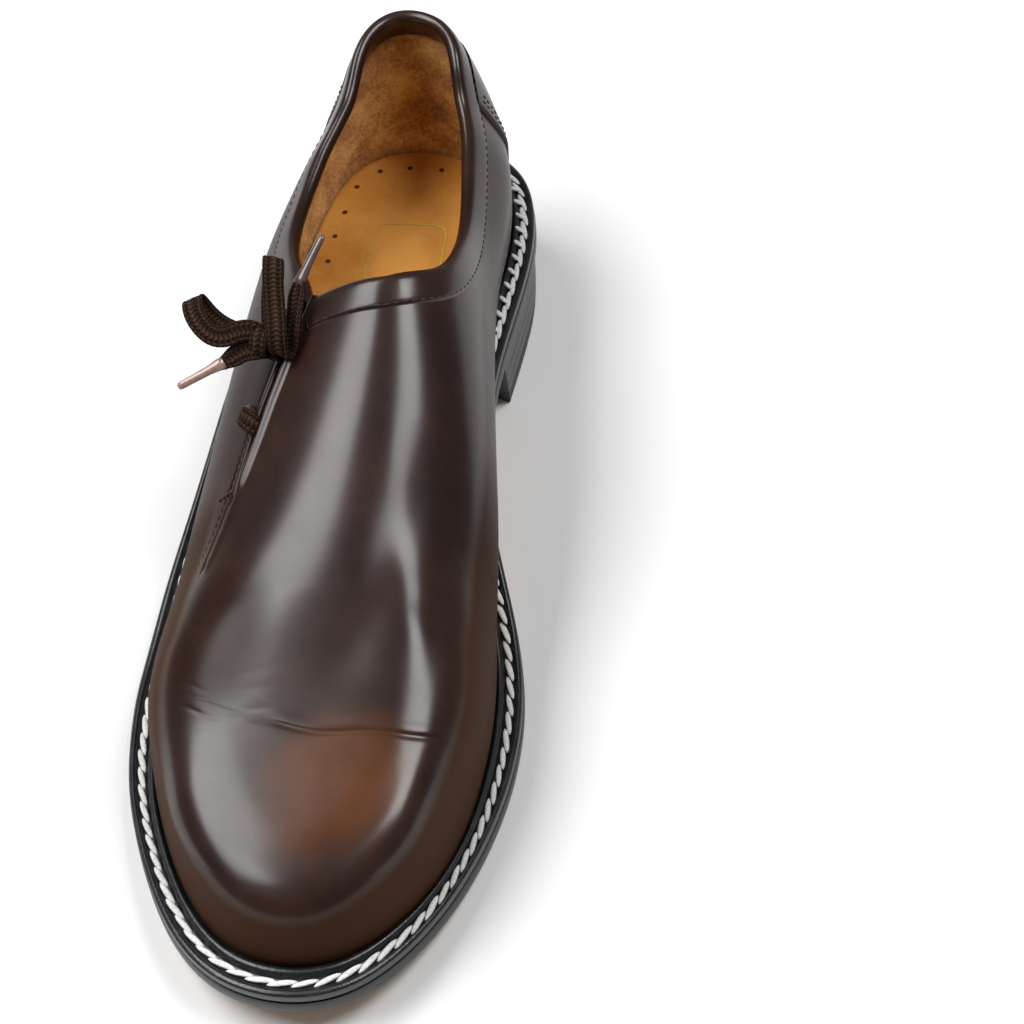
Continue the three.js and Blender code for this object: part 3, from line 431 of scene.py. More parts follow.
def polished_leather():
    """Dark brown box calf: fine grain, clouded colour, a warm burnish on the toe, painted sheen in a lighter
    brown on the walls towards the toe, and polish on the top.
    """
    paint = Paint("polished_leather", Coat_Roughness=0.235, Coat_IOR=1.5, IOR=1.14)
    where = paint.place()
    x, y, z = paint.axes(where)
    clouds = paint.noise(where, 0.045, 4.0, 0.55)
    fine = paint.noise(where, 0.5, 3.0)
    color = paint.ramp(clouds, (0.30, CALF_DARK), (0.52, CALF), (0.75, CALF_PALE))
    # height over the seat line, against the height of the rim
    ahead = (SPRING_START - y).high(0)
    height = z - (OUTSOLE_THICKNESS + WELT_THICKNESS) - ahead * ahead * SPRING_RATE
    height = height - y.step(ARCH_FRONT, ARCH_BACK) * HEEL_HEIGHT
    rim = ((y + 140) * RIM_SLOPE + RIM_AT_TOE).low(RIM_MOST)
    wall = (1 - (height - rim).step(-6, 0)) * ((-y).step(-110, -50) * 0.4 + (-y).step(-20, 30) * 0.6)
    burnish = 1 - oval(x - (y + 104) * BURNISH_LEAN, y, BURNISH_MIDDLE, BURNISH_RADII).step(0.05, 1.2)
    burnish = burnish * (paint.noise(where, 0.05, 3.0).step(0.15, 0.75) * 0.6 + 0.35)
    color = paint.mix(burnish * 0.85, color, CALF_BURNISHED)
    # painted sheen: a lighter warm brown on the matt walls towards the toe stands in for the light on them
    color = paint.mix(wall * (-y).step(-20, 60) * 0.65, color, CALF_WALL_SHEEN_PAINTED)
    color = paint.mix(fine.step(0.62, 0.8) * 0.2, color, CALF_FLECKS)
    grain = paint.cell_edges(bent(paint, where, 0.6, 1.2), 1.25)
    pores = paint.noise(where, 2.2, 2.0)
    # places with less polish: the flexed outer side of the vamp, the back and the quarter
    flexed = (1 - oval(x, y, FLEXED_MIDDLE, FLEXED_RADII).step(0.2, 1.3)) * 0.75
    back = y.step(20, 60) * (1 - z.step(60, 90)) * 0.5
    quarter = (-x).step(15, 30) * y.step(-60, -20) * 0.75
    polish = (1 - wall.high(flexed).high(back).high(quarter)) * (clouds * 0.4 + 0.62) + 0.05
    rough = clouds * 0.14 + fine * 0.10 + wall * 0.2 + 0.40
    low = paint.bump(grain.step(0.0, 0.16), 0.00005, 0.25)
    soft_waves = paint.bump(paint.noise(where, 0.07, 2.0), 0.0008, 0.32, low)
    soft_waves = paint.bump(paint.noise(where, 0.30, 2.0), 0.00025, 0.35, soft_waves)
    return paint.set(Base_Color=color, Roughness=rough, Coat_Weight=polish,
                     Normal=paint.bump(pores, 0.00004, 0.2, soft_waves))


def lining_suede():
    """Golden brown lining with a short nap, rubbed darker in patches."""
    paint = Paint("lining_suede", Roughness=0.85, Sheen_Weight=0.2, Sheen_Roughness=0.5)
    where = paint.place()
    patches = paint.noise(where, 0.09, 5.0, 0.6)
    specks = paint.noise(where, 0.9, 4.0, 0.75)
    worn, brown, golden = (0.22, 0.090, 0.016), (0.55, 0.260, 0.048), (0.90, 0.560, 0.160)
    color = paint.ramp(patches * 0.55 + specks * 0.45, (0.36, worn), (0.48, brown), (0.62, golden))
    return paint.set(Base_Color=color, Normal=paint.bump(specks, 0.0006, 0.8))


def insole_leather():
    """Smooth golden tan leather with soft clouds."""
    paint = Paint("insole_leather", IOR=1.3)
    where = paint.place()
    clouds = paint.noise(where, 0.035, 4.0, 0.6)
    fine = paint.noise(where, 0.9, 3.0)
    golden, tan = (0.48, 0.190, 0.030), (0.66, 0.310, 0.068)
    color = paint.ramp(clouds * 0.8 + fine * 0.2, (0.34, golden), (0.60, tan))
    return paint.set(Base_Color=color, Roughness=clouds * 0.2 + 0.33, Normal=paint.bump(fine, 0.0001, 0.35))


def black_leather(name, rough, wear):
    """Waxed black leather with a paler rubbed bloom."""
    paint = Paint(name, Coat_Roughness=0.2)
    where = paint.place()
    clouds = paint.noise(where, 0.12, 4.0)
    fine = paint.noise(where, 1.4, 3.0)
    black, bloom = (0.0085, 0.0090, 0.0105), (0.045, 0.047, 0.052)
    color = paint.mix((clouds * fine * 4).step(0.9, 1.6) * wear, black, bloom)
    return paint.set(Base_Color=color, Roughness=clouds * 0.22 + rough, Coat_Weight=0.15,
                     Normal=paint.bump(fine, 0.00018, 0.5))


def thread(name, color, dark):
    """Twisted thread, with painted shade in the creases of its twist."""
    paint = Paint(name, Roughness=0.7)
    where = paint.place()
    twist = paint.noise(where, 1.7, 2.0)
    # painted shade: the low parts of the twist's bumps take the darker colour
    color = paint.mix(twist.step(0.35, 0.65), dark, color)
    return paint.set(Base_Color=color, Normal=paint.bump(twist, 0.0003, 0.6))


STAMP_X, STAMP_Y, STAMP_RADIUS = -4.2, 32, 12.9
BREAST_Y = 58


def sole_leather():
    """Natural tan sole leather with dark flecks and faint cloudy handling marks."""
    paint = Paint("sole_leather", Roughness=0.62)
    where = paint.place()
    clouds = paint.noise(where, 0.03, 5.0, 0.6)
    fine = paint.noise(where, 0.8, 4.0, 0.7)
    flecks = paint.noise(where, 0.45, 2.0).step(0.74, 0.80)
    shaded, tan = (0.36, 0.225, 0.12), (0.60, 0.415, 0.245)
    dark, pressed_in = (0.12, 0.062, 0.028), (0.17, 0.085, 0.040)
    color = paint.ramp(clouds * 0.7 + fine * 0.3, (0.32, shaded), (0.66, tan))
    color = paint.mix(flecks * 0.6, color, dark)
    # a blank blind stamp in the waist: the outline of a hide, with four corners and concave sides
    x, y, _ = paint.axes(bent(paint, where, 0.8, 0.25))
    across, along = x - STAMP_X, y - STAMP_Y
    square = across * across + along * along
    share = across * across / square.high(0.01)
    four = share * share * 8 - share * 8 + 1
    edge = STAMP_RADIUS - four * 2.3 + (four * four * 2 - 1) * 0.35
    line = 1 - abs(square ** 0.5 - edge).step(0.25, 0.85)
    # nail marks near the breast of the heel
    nails = paint.noise(where, 0.9, 1.0).step(0.72, 0.76) * (1 - abs(y - BREAST_Y).step(2, 7))
    color = paint.mix((line * 0.55 + nails * 0.7).clamped(), color, pressed_in)
    pressed = paint.bump(1 - line, 0.0006, 0.9)
    return paint.set(Base_Color=color, Normal=paint.bump(fine, 0.0002, 0.5, pressed))


def lift_rubber():
    """Black rubber: the rear of the lift has a fine grid, the rest is plain."""
    paint = Paint("lift_rubber", Roughness=0.55)
    where = paint.place()
    x, y, _ = paint.axes(where)
    fine = paint.noise(where, 1.2, 3.0)
    grid = ((x * 2.6).sin() * (y * 2.6).sin()).step(-0.1, 0.5) * (y + 0.14 * x).step(119.5, 120.5)
    black, dusty = (0.010, 0.0105, 0.0125), (0.020, 0.021, 0.024)
    return paint.set(Base_Color=paint.mix(fine.step(0.4, 0.7), black, dusty), Roughness=fine * 0.25 + 0.42,
                     Normal=paint.bump(grid + fine * 0.2, 0.0004, 0.6))


def lace_braid():
    """Flat braid of mottled brown yarns: lengthwise ribs of small slanted stitches, with painted shade
    between the ribs and a painted highlight on their tops.
    """
    paint = Paint("lace_braid", Roughness=0.85, IOR=1.2)
    run = paint.node("ShaderNodeUVMap", {"uv_map": "UVMap"})
    far, round_it, _ = paint.axes(run)
    where = paint.place()
    rib = (round_it * 10).math("PINGPONG", 0.5)
    slanted = (far * 5.0 + rib * 7.0).sin()
    yarn = paint.noise(where, 1.3, 3.0, 0.7)
    # painted shade and highlight: the colour follows the height of the ribs and stitches, dark in the valleys
    # and pale on the tops; the yarn noise is real mottling
    tone = rib * 0.7 + slanted * 0.12 + yarn * 0.45 - 0.05
    dark, brown, pale = (0.0085, 0.0040, 0.0026), (0.0320, 0.0150, 0.0090), (0.0950, 0.0520, 0.0320)
    color = paint.ramp(tone.clamped(), (0.18, dark), (0.42, brown), (0.72, pale))
    height = slanted * 0.35 + rib * 1.2 + yarn * 0.5
    return paint.set(Base_Color=color, Normal=paint.bump(height, 0.0005, 0.8))


def plain(name, color, rough, metal=0.0, **more):
    """One colour, a little mottled."""
    paint = Paint(name, Metallic=metal, **more)
    where = paint.place()
    fine = paint.noise(where, 1.5, 3.0)
    dark = tuple(c * 0.7 for c in color)
    return paint.set(Base_Color=paint.mix(fine.step(0.35, 0.7), dark, color), Roughness=fine * 0.15 + rough,
                     Normal=paint.bump(fine, 0.0001, 0.3))


LEATHER = polished_leather()
SUEDE = lining_suede()
INSOLE = insole_leather()
WELT_BLACK = black_leather("welt_black", 0.22, 0.35)
EDGE_BLACK = black_leather("edge_black", 0.30, 0.25)
SOLE_TAN = sole_leather()
RUBBER = lift_rubber()
WHITE_THREAD = thread("white_thread", (0.96, 0.95, 0.92), (0.74, 0.73, 0.70))
BROWN_THREAD = thread("brown_thread", (0.060, 0.030, 0.020), (0.020, 0.010, 0.007))
OLIVE_THREAD = thread("olive_thread", (0.120, 0.105, 0.045), (0.040, 0.032, 0.014))
BRAID = lace_braid()
EYELET_METAL = plain("eyelet_metal", (0.085, 0.045, 0.026), 0.28, 0.6)
PALE_TIP = plain("pale_tip", (0.36, 0.22, 0.18), 0.16, 0.0, Coat_Weight=0.6, Coat_Roughness=0.08)
# painted shade: the upright lace's tip is the same film as the pale one, darkened to stand in for the shade
# on it
LACE_TIP_PAINTED_SHADE = plain("lace_tip_painted_shade", (0.10, 0.066, 0.060), 0.22, 0.0, Coat_Weight=0.5, Coat_Roughness=0.1)
GOLD = plain("gold_foil", (0.85, 0.58, 0.10), 0.35, 0.35)
# painted shade: the colour of the pin holes' depth, put on shallow dimples
PIN_HOLE_PAINTED_SHADE = plain("pin_hole_painted_shade", (0.06, 0.028, 0.010), 0.9)
HEEL_EDGE = black_leather("heel_edge", 0.34, 0.35)
CHANNEL_TAN = plain("channel_tan", (0.10, 0.055, 0.026), 0.8)
LINING_DARK = plain("lining_dark", (0.030, 0.013, 0.008), 0.6)


def turn_outwards(mesh):
    """Turns the faces of a mesh outwards, if it is closed."""
    shape = bmesh.new()
    shape.from_mesh(mesh)
    if all(edge.is_manifold for edge in shape.edges):
        bmesh.ops.recalc_face_normals(shape, faces=shape.faces)
        shape.to_mesh(mesh)
    shape.free()


def make(name, points, faces, materials, face_materials, uv, slot, node=None, sharp=None):
    """Object from places in millimetres. Its faces are turned outwards and shaded smooth."""
    mesh = bpy.data.meshes.new(name)
    mesh.from_pydata((np.asarray(points, float) * MM).tolist(), [], [tuple(map(int, f)) for f in faces])
    mesh.validate()
    turn_outwards(mesh)
    for material in materials if isinstance(materials, list) else [materials]:
        mesh.materials.append(material)
    mesh.polygons.foreach_set("material_index", np.asarray(face_materials, np.int32))
    layer = mesh.uv_layers.new(name="UVMap")
    loops = np.zeros(len(mesh.loops), np.int32)
    mesh.loops.foreach_get("vertex_index", loops)
    layer.data.foreach_set("uv", np.asarray(uv, np.float32)[loops].ravel())
    mesh.shade_smooth()
    if sharp is not None:
        mesh.set_sharp_from_angle(angle=math.radians(sharp))
    piece = bpy.data.objects.new(name, mesh)
    bpy.context.scene.collection.objects.link(piece)
    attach(piece, "root")
    if node:
        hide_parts(*([node] if isinstance(node, str) else node))
    return piece


class Build:
    """Collects grids of places and welds them into one mesh."""

    def __init__(self):
        self.points, self.faces, self.mats, self.uv, self.count = [], [], [], [], 0

    def grid(self, places, wrap=False, flip=False, material=0, uv=None):
        """A sheet of quads over an array of rows and columns. wrap joins the last column to the first."""
        rows, columns = places.shape[:2]
        start = self.count
        self.points.append(places.reshape(-1, 3))
        self.uv.append(np.zeros((rows * columns, 2)) if uv is None else uv.reshape(-1, 2))
        self.count += rows * columns
        across = columns if wrap else columns - 1
        i, j = np.meshgrid(np.arange(rows - 1), np.arange(across), indexing="ij")
        a = start + i * columns + j
        b = start + i * columns + (j + 1) % columns
        c, d = b + columns, a + columns
        quads = np.stack([a, d, c, b] if flip else [a, b, c, d], -1).reshape(-1, 4)
        self.faces.append(quads)
        mats = np.full(rows - 1, material) if np.isscalar(material) else np.asarray(material)
        self.mats.append(np.repeat(mats, across) if mats.ndim == 1 else mats.ravel())

    def finish(self, name, materials, weld=0.02, **more):
        points, uv = np.concatenate(self.points), np.concatenate(self.uv)
        faces, mats = np.concatenate(self.faces), np.concatenate(self.mats)
        key = np.round(points / weld).astype(np.int64)
        _, first, back = np.unique(key, axis=0, return_index=True, return_inverse=True)
        back = back.ravel()
        kept, kept_mats = [], []
        for face, mat in zip(back[faces], mats):
            ring = [v for k, v in enumerate(face) if v != face[k - 1]]
            if len(set(ring)) == len(ring) and len(ring) > 2:
                kept.append(ring)
                kept_mats.append(mat)
        return make(name, points[first], kept, materials, kept_mats, uv[first], **more)


def run_length(line):
    """How far along a line each of its places lies."""
    return np.concatenate([[0], np.cumsum(np.linalg.norm(np.diff(line, axis=0), axis=1))])


def rows_at(wanted, size, rows):
    """Rows of a table at other values of the size that each row has."""
    return np.stack([np.interp(wanted, size, rows[:, k]) for k in range(rows.shape[1])], -1)


def walk(line, wanted, ahead=0.5):
    """Places at distances along a line, and the way that it runs at each."""
    size = run_length(line)
    place = rows_at(wanted, size, line)
    return place, unit(rows_at(wanted + ahead, size, line) - place)


def full_turn(count):
    return np.linspace(0, 2 * np.pi, count + 1)[:-1]


def fine_curve(points, step):
    """Places every step along a smooth line through points, and how far along the list each one is."""
    points = np.asarray(points, float)
    size = run_length(points)
    lines = [Curve(size, points[:, k]) for k in range(3)]
    count = max(8, int(size[-1] / step))
    s = np.linspace(0, size[-1], count + 1)
    return np.stack([line(s) for line in lines], -1), np.interp(s, size, np.arange(len(size)))


def round_section(width, thickness, sides, power):
    """A closed section, the squarer the higher its power is."""
    turn = np.arange(sides) / sides * 2 * np.pi
    c, s = np.cos(turn), np.sin(turn)
    return np.stack([np.sign(c) * np.abs(c) ** (2 / power) * width / 2,
                     np.sign(s) * np.abs(s) ** (2 / power) * thickness / 2], -1)


def cap_ends(build, rings, flipped, wrap):
    """Closes both ends of a row of rings with fans. flipped says which of the two is turned over."""
    for end in (0, -1):
        middle = np.repeat(rings[end].mean(0)[None], rings.shape[1], 0)
        build.grid(np.stack([rings[end], middle]), wrap=wrap, flip=end == flipped)


def ribbon(build, centre, wide, sections):
    """Sweeps a cross-section along a centreline. wide gives the direction of its width at each place."""
    run = unit(np.gradient(centre, axis=0))
    wide = unit(wide - run * (wide * run).sum(-1, keepdims=True))
    thick = np.cross(run, wide)
    rings = centre[:, None] + wide[:, None] * sections[..., :1] + thick[:, None] * sections[..., 1:]
    around = np.linspace(0, 1, rings.shape[1])
    uv = np.stack(np.broadcast_arrays(run_length(centre)[:, None], around[None]), -1)
    build.grid(rings, wrap=True, uv=uv)
    cap_ends(build, rings, -1, True)


def stitch(build, place, along, out, length, width, height):
    """One stitch lying on a surface, thick in the middle and thin at both ends."""
    share = np.linspace(-1, 1, 9)
    size = np.sqrt(np.clip(1 - share ** 2 * 0.96, 0.04, 1))
    centre = place + along * (share * length / 2)[:, None] + out * (size * height * 0.25)[:, None]
    across = np.cross(out, along)
    section = round_section(width, height, 8, 2.0)[None] * size[:, None, None]
    ribbon(build, centre, np.repeat(across[None], len(share), 0), section)


def slit_share(at):
    """Way up to the slit's line, carried on over both sides of the vamp as the line where its rows meet."""
    return np.interp(at, [0.0, 0.392, 0.43, 0.48, 0.505, 0.555, 0.58, 0.62, 0.70, 0.85, 1.0],
                     [0.71, 0.71, 0.672, 0.642, 0.633, 0.620, 0.612, 0.595, 0.58, 0.56, 0.55])


FINE_ROWS = 160


def even_rows(side, t, start, end, count, weight=None):
    """Ways up at even steps along each rib between two others, and their distances from the first one.
    weight(place, far) brings rows closer together where it is high."""
    share = np.linspace(0, 1, FINE_ROWS + 1)[None]
    up = start[:, None] + (end - start)[:, None] * share
    place = skin(side, t[:, None], up)
    steps = np.linalg.norm(np.diff(place, axis=1), axis=-1)
    none = np.zeros((len(t), 1))
    far = np.concatenate([none, np.cumsum(steps, 1)], 1)
    if weight is not None:
        steps = steps * weight(place[:, 1:], far[:, 1:])
    size = np.concatenate([none, np.cumsum(steps, 1)], 1)
    rows = np.linspace(0, 1, count + 1)
    empty = far[:, -1] < 1e-6
    return [np.array([values[0] + 0 * rows if flat else np.interp(rows * line[-1], line, values)
                      for line, values, flat in zip(size, table, empty)]) for table in (up, far)]


def smooth_rows(values, passes):
    for _ in range(passes):
        values[1:-1] = (values[:-2] + 2 * values[1:-1] + values[2:]) / 4
    return values


def soft(x, width):
    return np.exp(-(x / width) ** 2)


def ease(x, start, end):
    q = np.clip((x - start) / (end - start), 0, 1)
    return q * q * (3 - 2 * q)


def crease_line(x):
    """Where along the sole the flex crease lies."""
    return 239.4 - 0.0034 * (x - 10) ** 2 + 0.5 * np.sin(x / 4.2)


def near_crease(place):
    """How much closer rows lie near the flex crease."""
    x, along = place[..., 0] + MIDDLE, SOLE_LENGTH / 2 - place[..., 1]
    return 1 + 4.5 * soft(along - crease_line(x) + 2, 9)


def creases(place):
    """Troughs and ridges of the vamp, in millimetres over the last."""
    x, along, z = place[..., 0] + MIDDLE, SOLE_LENGTH / 2 - place[..., 1], place[..., 2]
    top = ease(z - seat_line(along), 12, 24)
    height = np.zeros_like(x)
    # the thin flex crease behind the toe, sharp at its inner part, with a soft roll at both sides of it
    line = crease_line(x)
    inner = ease(x, -14, -2) * (1 - ease(x, 36, 41))
    outer = ease(x, -36, -28) * (1 - ease(x, -16, -4))
    for rise, back, wide, where in ((-0.30, 0, 0.9, inner), (0.20, 2.2, 1.8, inner + 0.5 * outer),
                                    (0.08, -3.0, 2.4, inner)):
        height += rise * soft(along - line + back, wide) * where * top
    for back, deep in ((-0.4, 0.16), (3.0, 0.18), (5.8, 0.10)):
        height -= deep * soft(along - line + back + 0.5 * np.sin(x / 3.1 + back), 0.7) * outer * top
    # fine wrinkles that fan out of it over the vamp's outer side
    for start, slant, deep in ((7.5, 0.12, 0.10), (11.5, 0.20, 0.08)):
        height -= deep * soft(along - line + start + slant * (x + 20), 0.9) * soft(x + 16, 9) * top
    # two long soft hollows that leave a ridge between the slit and the toe, and one at the inner side
    fade = ease(along, 140, 185) * (1 - ease(along, 205, 234)) * top
    for rise, middle, slant, wide in ((-0.75, 14, 0.28, 8.0), (-0.55, 36, 0, 5.0), (0.30, 29, -0.2, 5.0)):
        height += rise * soft(x - middle + slant * (along - 215), wide) * fade
    return height


SLIT_FADE, SEAM_RISE, SEAM_FADE = (0.545, 0.562), (0.552, 0.566), (0.622, 0.636)


def slit_relief(at, far):
    """Rolled edge of the vamp, thin edge of the quarter, seam ahead of the slit. far is counted upwards."""
    open_part = 1 - ease(at, *SLIT_FADE)
    seam = ease(at, *SEAM_RISE) * (1 - ease(at, *SEAM_FADE))
    vamp = 1.25 * soft(far - 2.0, 1.7) - 0.55 * np.clip(1 - far / 0.9, 0, 1) ** 2
    quarter = -0.45 * np.clip(1 + far / 0.7, 0, 1) ** 2 - 0.22 * soft(far + 2.4, 0.45)
    lip = np.where(far >= 0, vamp, quarter)
    groove = -0.75 * soft(far, 0.55) + 0.35 * soft(far - 1.8, 1.3)
    return lip * open_part + groove * seam


TOE_LEAN, SIDE_LEAN = 6.2, 3.2  # how far the rim of the toe lies inside the foot of its wall
RIM_RISE, TOE_WALL = 0.3, 21
# where, how far round it and how often the leather is evened out near the toe's pole
POLE_MIDDLE, POLE_REACH, POLE_PASSES = 0.664, 0.05, 90
BACK_SPLIT = 0.71  # where the two nets of the inner side meet behind the throat, as a share of the way up
SPINE_RISE = 12  # middle of the foot over the seat line
CUT_RUN_OUT = 0.055  # share of the sole over which the slit narrows to its end


def lean_toe(side, t, place):
    """Leans the toe's wall inwards, so that its rim stands inside the welt."""
    foot = skin(side, t, np.zeros_like(t))
    at = share_of(t)
    x, along = foot[..., 0] + MIDDLE, SOLE_LENGTH / 2 - foot[..., 1]
    top_x, top_along = crest_shift(TOE_POLE) * BALL_WIDTH, TOE_POLE * SOLE_LENGTH
    inward = unit(np.stack([top_x - x, along - top_along, 0 * x], -1))
    far = ((place - foot)[..., :2] * inward[..., :2]).sum(-1)
    height = place[..., 2] - foot[..., 2]
    most = SIDE_LEAN * ease(at, 0.72, 0.86) + (TOE_LEAN - SIDE_LEAN) * ease(at, 0.88, 0.99)
    rise = np.clip(height / TOE_WALL, 0, 1)
    lean = most * (0.6 * rise + 0.4 * ease(rise, 0, 1)) * (1 - ease(far, 2, 30))
    lift = RIM_RISE * soft(far - 7.5, 6) * ease(height, 6, 22) * ease(at, 0.74, 0.86)
    return place + inward * lean[..., None] + np.array([0, 0, 1]) * lift[..., None]


def way_out(place):
    """Direction away from the middle of the foot, the same for places that both sides share."""
    along = SOLE_LENGTH / 2 - place[..., 1]
    inside = np.clip(along, 0.13 * SOLE_LENGTH, 0.70 * SOLE_LENGTH)
    spine = at3(crest_shift(inside / SOLE_LENGTH) * BALL_WIDTH, inside, seat_line(inside) + SPINE_RISE)
    return unit(place - spine)


def slit_half(at):
    return SLIT_WIDTH / 2 * np.where(at < SLIT_END, np.minimum(1, 0.12 + (SLIT_END - at) / CUT_RUN_OUT), 0.0)


BACK_COLUMNS, FRONT_COLUMNS, LOW_ROWS, HIGH_ROWS = 114, 186, 42, 80


def near_edge(place, far):
    """Rows closer together below the slit."""
    return 1 + 2.0 * soft(far - far[:, -1:], 5) + 1.0 * soft(far - 22, 8)


def near_crease_and_edge(place, far):
    return near_crease(place) + 1.5 * soft(far, 5)


def smooth_pole(place, t, foot_row):
    """Evens out the leather where the ribs of the vamp begin to fan out over the toe."""
    near = soft(share_of(t) - POLE_MIDDLE, POLE_REACH)[:, None] * np.ones(place.shape[1])
    if foot_row:
        near = near * ease(np.arange(place.shape[1]) / (place.shape[1] - 1), 0, 1)
    return place + (smooth_rows(place.copy(), POLE_PASSES) - place) * near[..., None]


def make_upper():
    """Outer face of the upper in two nets a side, which part along the slit and meet elsewhere."""
    build = Build()
    t_throat = float(angle_of(THROAT))
    fine = np.linspace(t_throat, 1, 2001)
    # columns lie closer together at the flex crease
    density = np.cumsum(1 + 1.6 * soft(share_of(fine) * SOLE_LENGTH - 238, 16))
    level = np.linspace(density[0], density[-1], FRONT_COLUMNS)
    t = np.concatenate([np.linspace(0, t_throat, BACK_COLUMNS)[:-1], np.interp(level, density, fine)])
    at = share_of(t)
    ahead = at >= THROAT - 1e-9
    for side in (INNER, OUTER):
        topline = topline_of[side](np.minimum(at, THROAT))
        if side == INNER:
            split = np.where(ahead, slit_share(at), BACK_SPLIT * topline)
            crest = np.where(ahead, 1.0, topline)
        else:
            split, crest = np.where(ahead, slit_share(at), topline), np.ones_like(at)
        low, low_far = even_rows(side, t, 0 * at, split, LOW_ROWS, near_edge)
        low_far = low_far - low_far[:, -1:]
        # behind the throat the outer side ends at the opening, so its upper net starts there
        used = slice(None) if side == INNER else ahead
        high, high_far = even_rows(side, t[used], split[used], crest[used], HIGH_ROWS, near_crease_and_edge)
        edges = []
        for part, up, far, pick in ((0, low, low_far, slice(None)), (1, high, high_far, used)):
            place = smooth_pole(skin(side, t[pick][:, None], up), t[pick], part == 0)
            place = lean_toe(side, t[pick][:, None], place)
            if side == OUTER:
                cut = (at[pick] >= THROAT - 1e-9) & (at[pick] < SLIT_END)
                rib = unit(np.gradient(place, axis=1))
                pull = np.clip(1 - np.abs(far) / 9, 0, 1) * slit_half(at[pick])[:, None] * cut[:, None]
                place = place + rib * (pull * (1 if part else -1))[..., None]
                place = place + way_out(place) * (slit_relief(at[pick][:, None], far)
                                                  * ahead[pick][:, None])[..., None]
                edge = place[:, 0 if part else -1][cut]
                edges.append((part, edge, way_out(edge)))
            place = place + way_out(place) * creases(place)[..., None]
            build.grid(place, flip=side == INNER)
        for part, edge, out in edges:
            down = np.stack([edge - out * depth for depth in (0, 0.5, UPPER_WALL)], 1)
            build.grid(down, flip=bool(part))
    build.finish("upper_leather", LEATHER, weld=0.01, slot="upper", node="upper")


make_upper()


def opening_line(count=110, throat_count=21):
    """The opening's edge from the quarter's corner at the slit round the heel, over the crest to the slit."""
    t_end = float(angle_of(THROAT))
    back, front = np.linspace(t_end, 0, count), np.linspace(0, t_end, count)[1:]
    throat = 1 + (topline_of[OUTER](THROAT) - 1) * np.linspace(0, 1, throat_count + 1)[1:]
    sides = np.concatenate([np.full(count, OUTER), np.full(count - 1, INNER), np.full(throat_count, OUTER)])
    ups = np.concatenate([topline_of[OUTER](share_of(back)), topline_of[INNER](share_of(front)), throat])
    return sides, np.concatenate([back, front, np.full(throat_count, t_end)]), ups


def on_side(function, sides, *values):
    """Calls a function of the side with rows of places that lie on either side."""
    found = None
    for side in (INNER, OUTER):
        pick = sides == side
        part = function(side, *[v[pick] for v in values])
        parts = part if isinstance(part, tuple) else (part,)
        if found is None:
            found = [np.zeros((len(sides),) + p.shape[1:]) for p in parts]
        for store, p in zip(found, parts):
            store[pick] = p
    return found if len(found) > 1 else found[0]


def collar_frames():
    """Places about a millimetre apart round the opening, with the way out and the way down at each."""
    sides, ts, ups = opening_line()
    place = on_side(skin, sides, ts, ups)
    size = run_length(place)
    even = np.linspace(0, size[-1], int(size[-1]))
    near = np.round(np.interp(even, size, np.arange(len(size)))).astype(int)
    place = smooth_rows(rows_at(even, size, place), 6)
    normal = unit(smooth_rows(on_side(skin_normal, sides, ts, ups)[near], 12))
    out = unit(np.cross(unit(np.gradient(place, axis=0)), normal))
    outward = (out * (place - place.mean(0))).sum(-1, keepdims=True) > 0
    down = smooth_rows(out * np.where(outward, 1, -1), 4)
    return sides[near], ts[near], ups[near], place, normal, down, even


COLLAR = collar_frames()
COLLAR_SEAM = 8.4  # its stitches below the opening's edge
# Section of the collar: distance below the opening's edge and height over the leather
OUTSIDE = [(9.5, -0.5), (9.3, 0.1), (9.0, 0.45), (COLLAR_SEAM, 0.7), (7.2, 0.85), (5.4, 0.98), (3.6, 1.05),
           (2.2, 1.05), (1.1, 0.95), (0.4, 0.7)]
OVER = [(-0.1, 0.35), (-0.45, -0.15), (-0.6, -0.9), (-0.5, -1.7), (-0.1, -2.5)]
INSIDE = [(0.8, -3.0), (2.4, -3.25), (4.4, -3.3), (6.4, -3.25), (8.2, -3.1), (8.6, -2.5)]


def collar_folds(even, distance):
    """Soft folds across the padded collar at its outer side."""
    lateral = 0.9 * ease(even, 12, 30) * (1 - ease(even, 118, 140))
    wave = np.sin(even / 4.6 + 0.8 * np.sin(even / 11))
    return 0.30 * lateral * wave * np.clip(1 - abs(distance - 4.5) / 5, 0, 1)


def stitch_row(name, places, runs, size, turn, material, up=(0, 0, 1), slot="upper", lift=0.0):
    """A row of stitches, each turned a little against the row. size is their length, width and height, and up
    is one direction or one for each stitch."""
    build = Build()
    length, width, height = size
    ups = np.broadcast_to(np.asarray(up, float), places.shape)
    for place, run, out in zip(places, runs, ups):
        run = unit(run - out * (run * out).sum())
        across = np.cross(out, run)
        angle = math.radians(turn * random.uniform(0.8, 1.2))
        way = run * math.cos(angle) + across * math.sin(angle)
        grown = random.uniform(0.93, 1.06)
        stitch(build, place + out * lift, way, out, length * grown, width * grown, height)
    build.finish(name, material, slot=slot, weld=0.001)


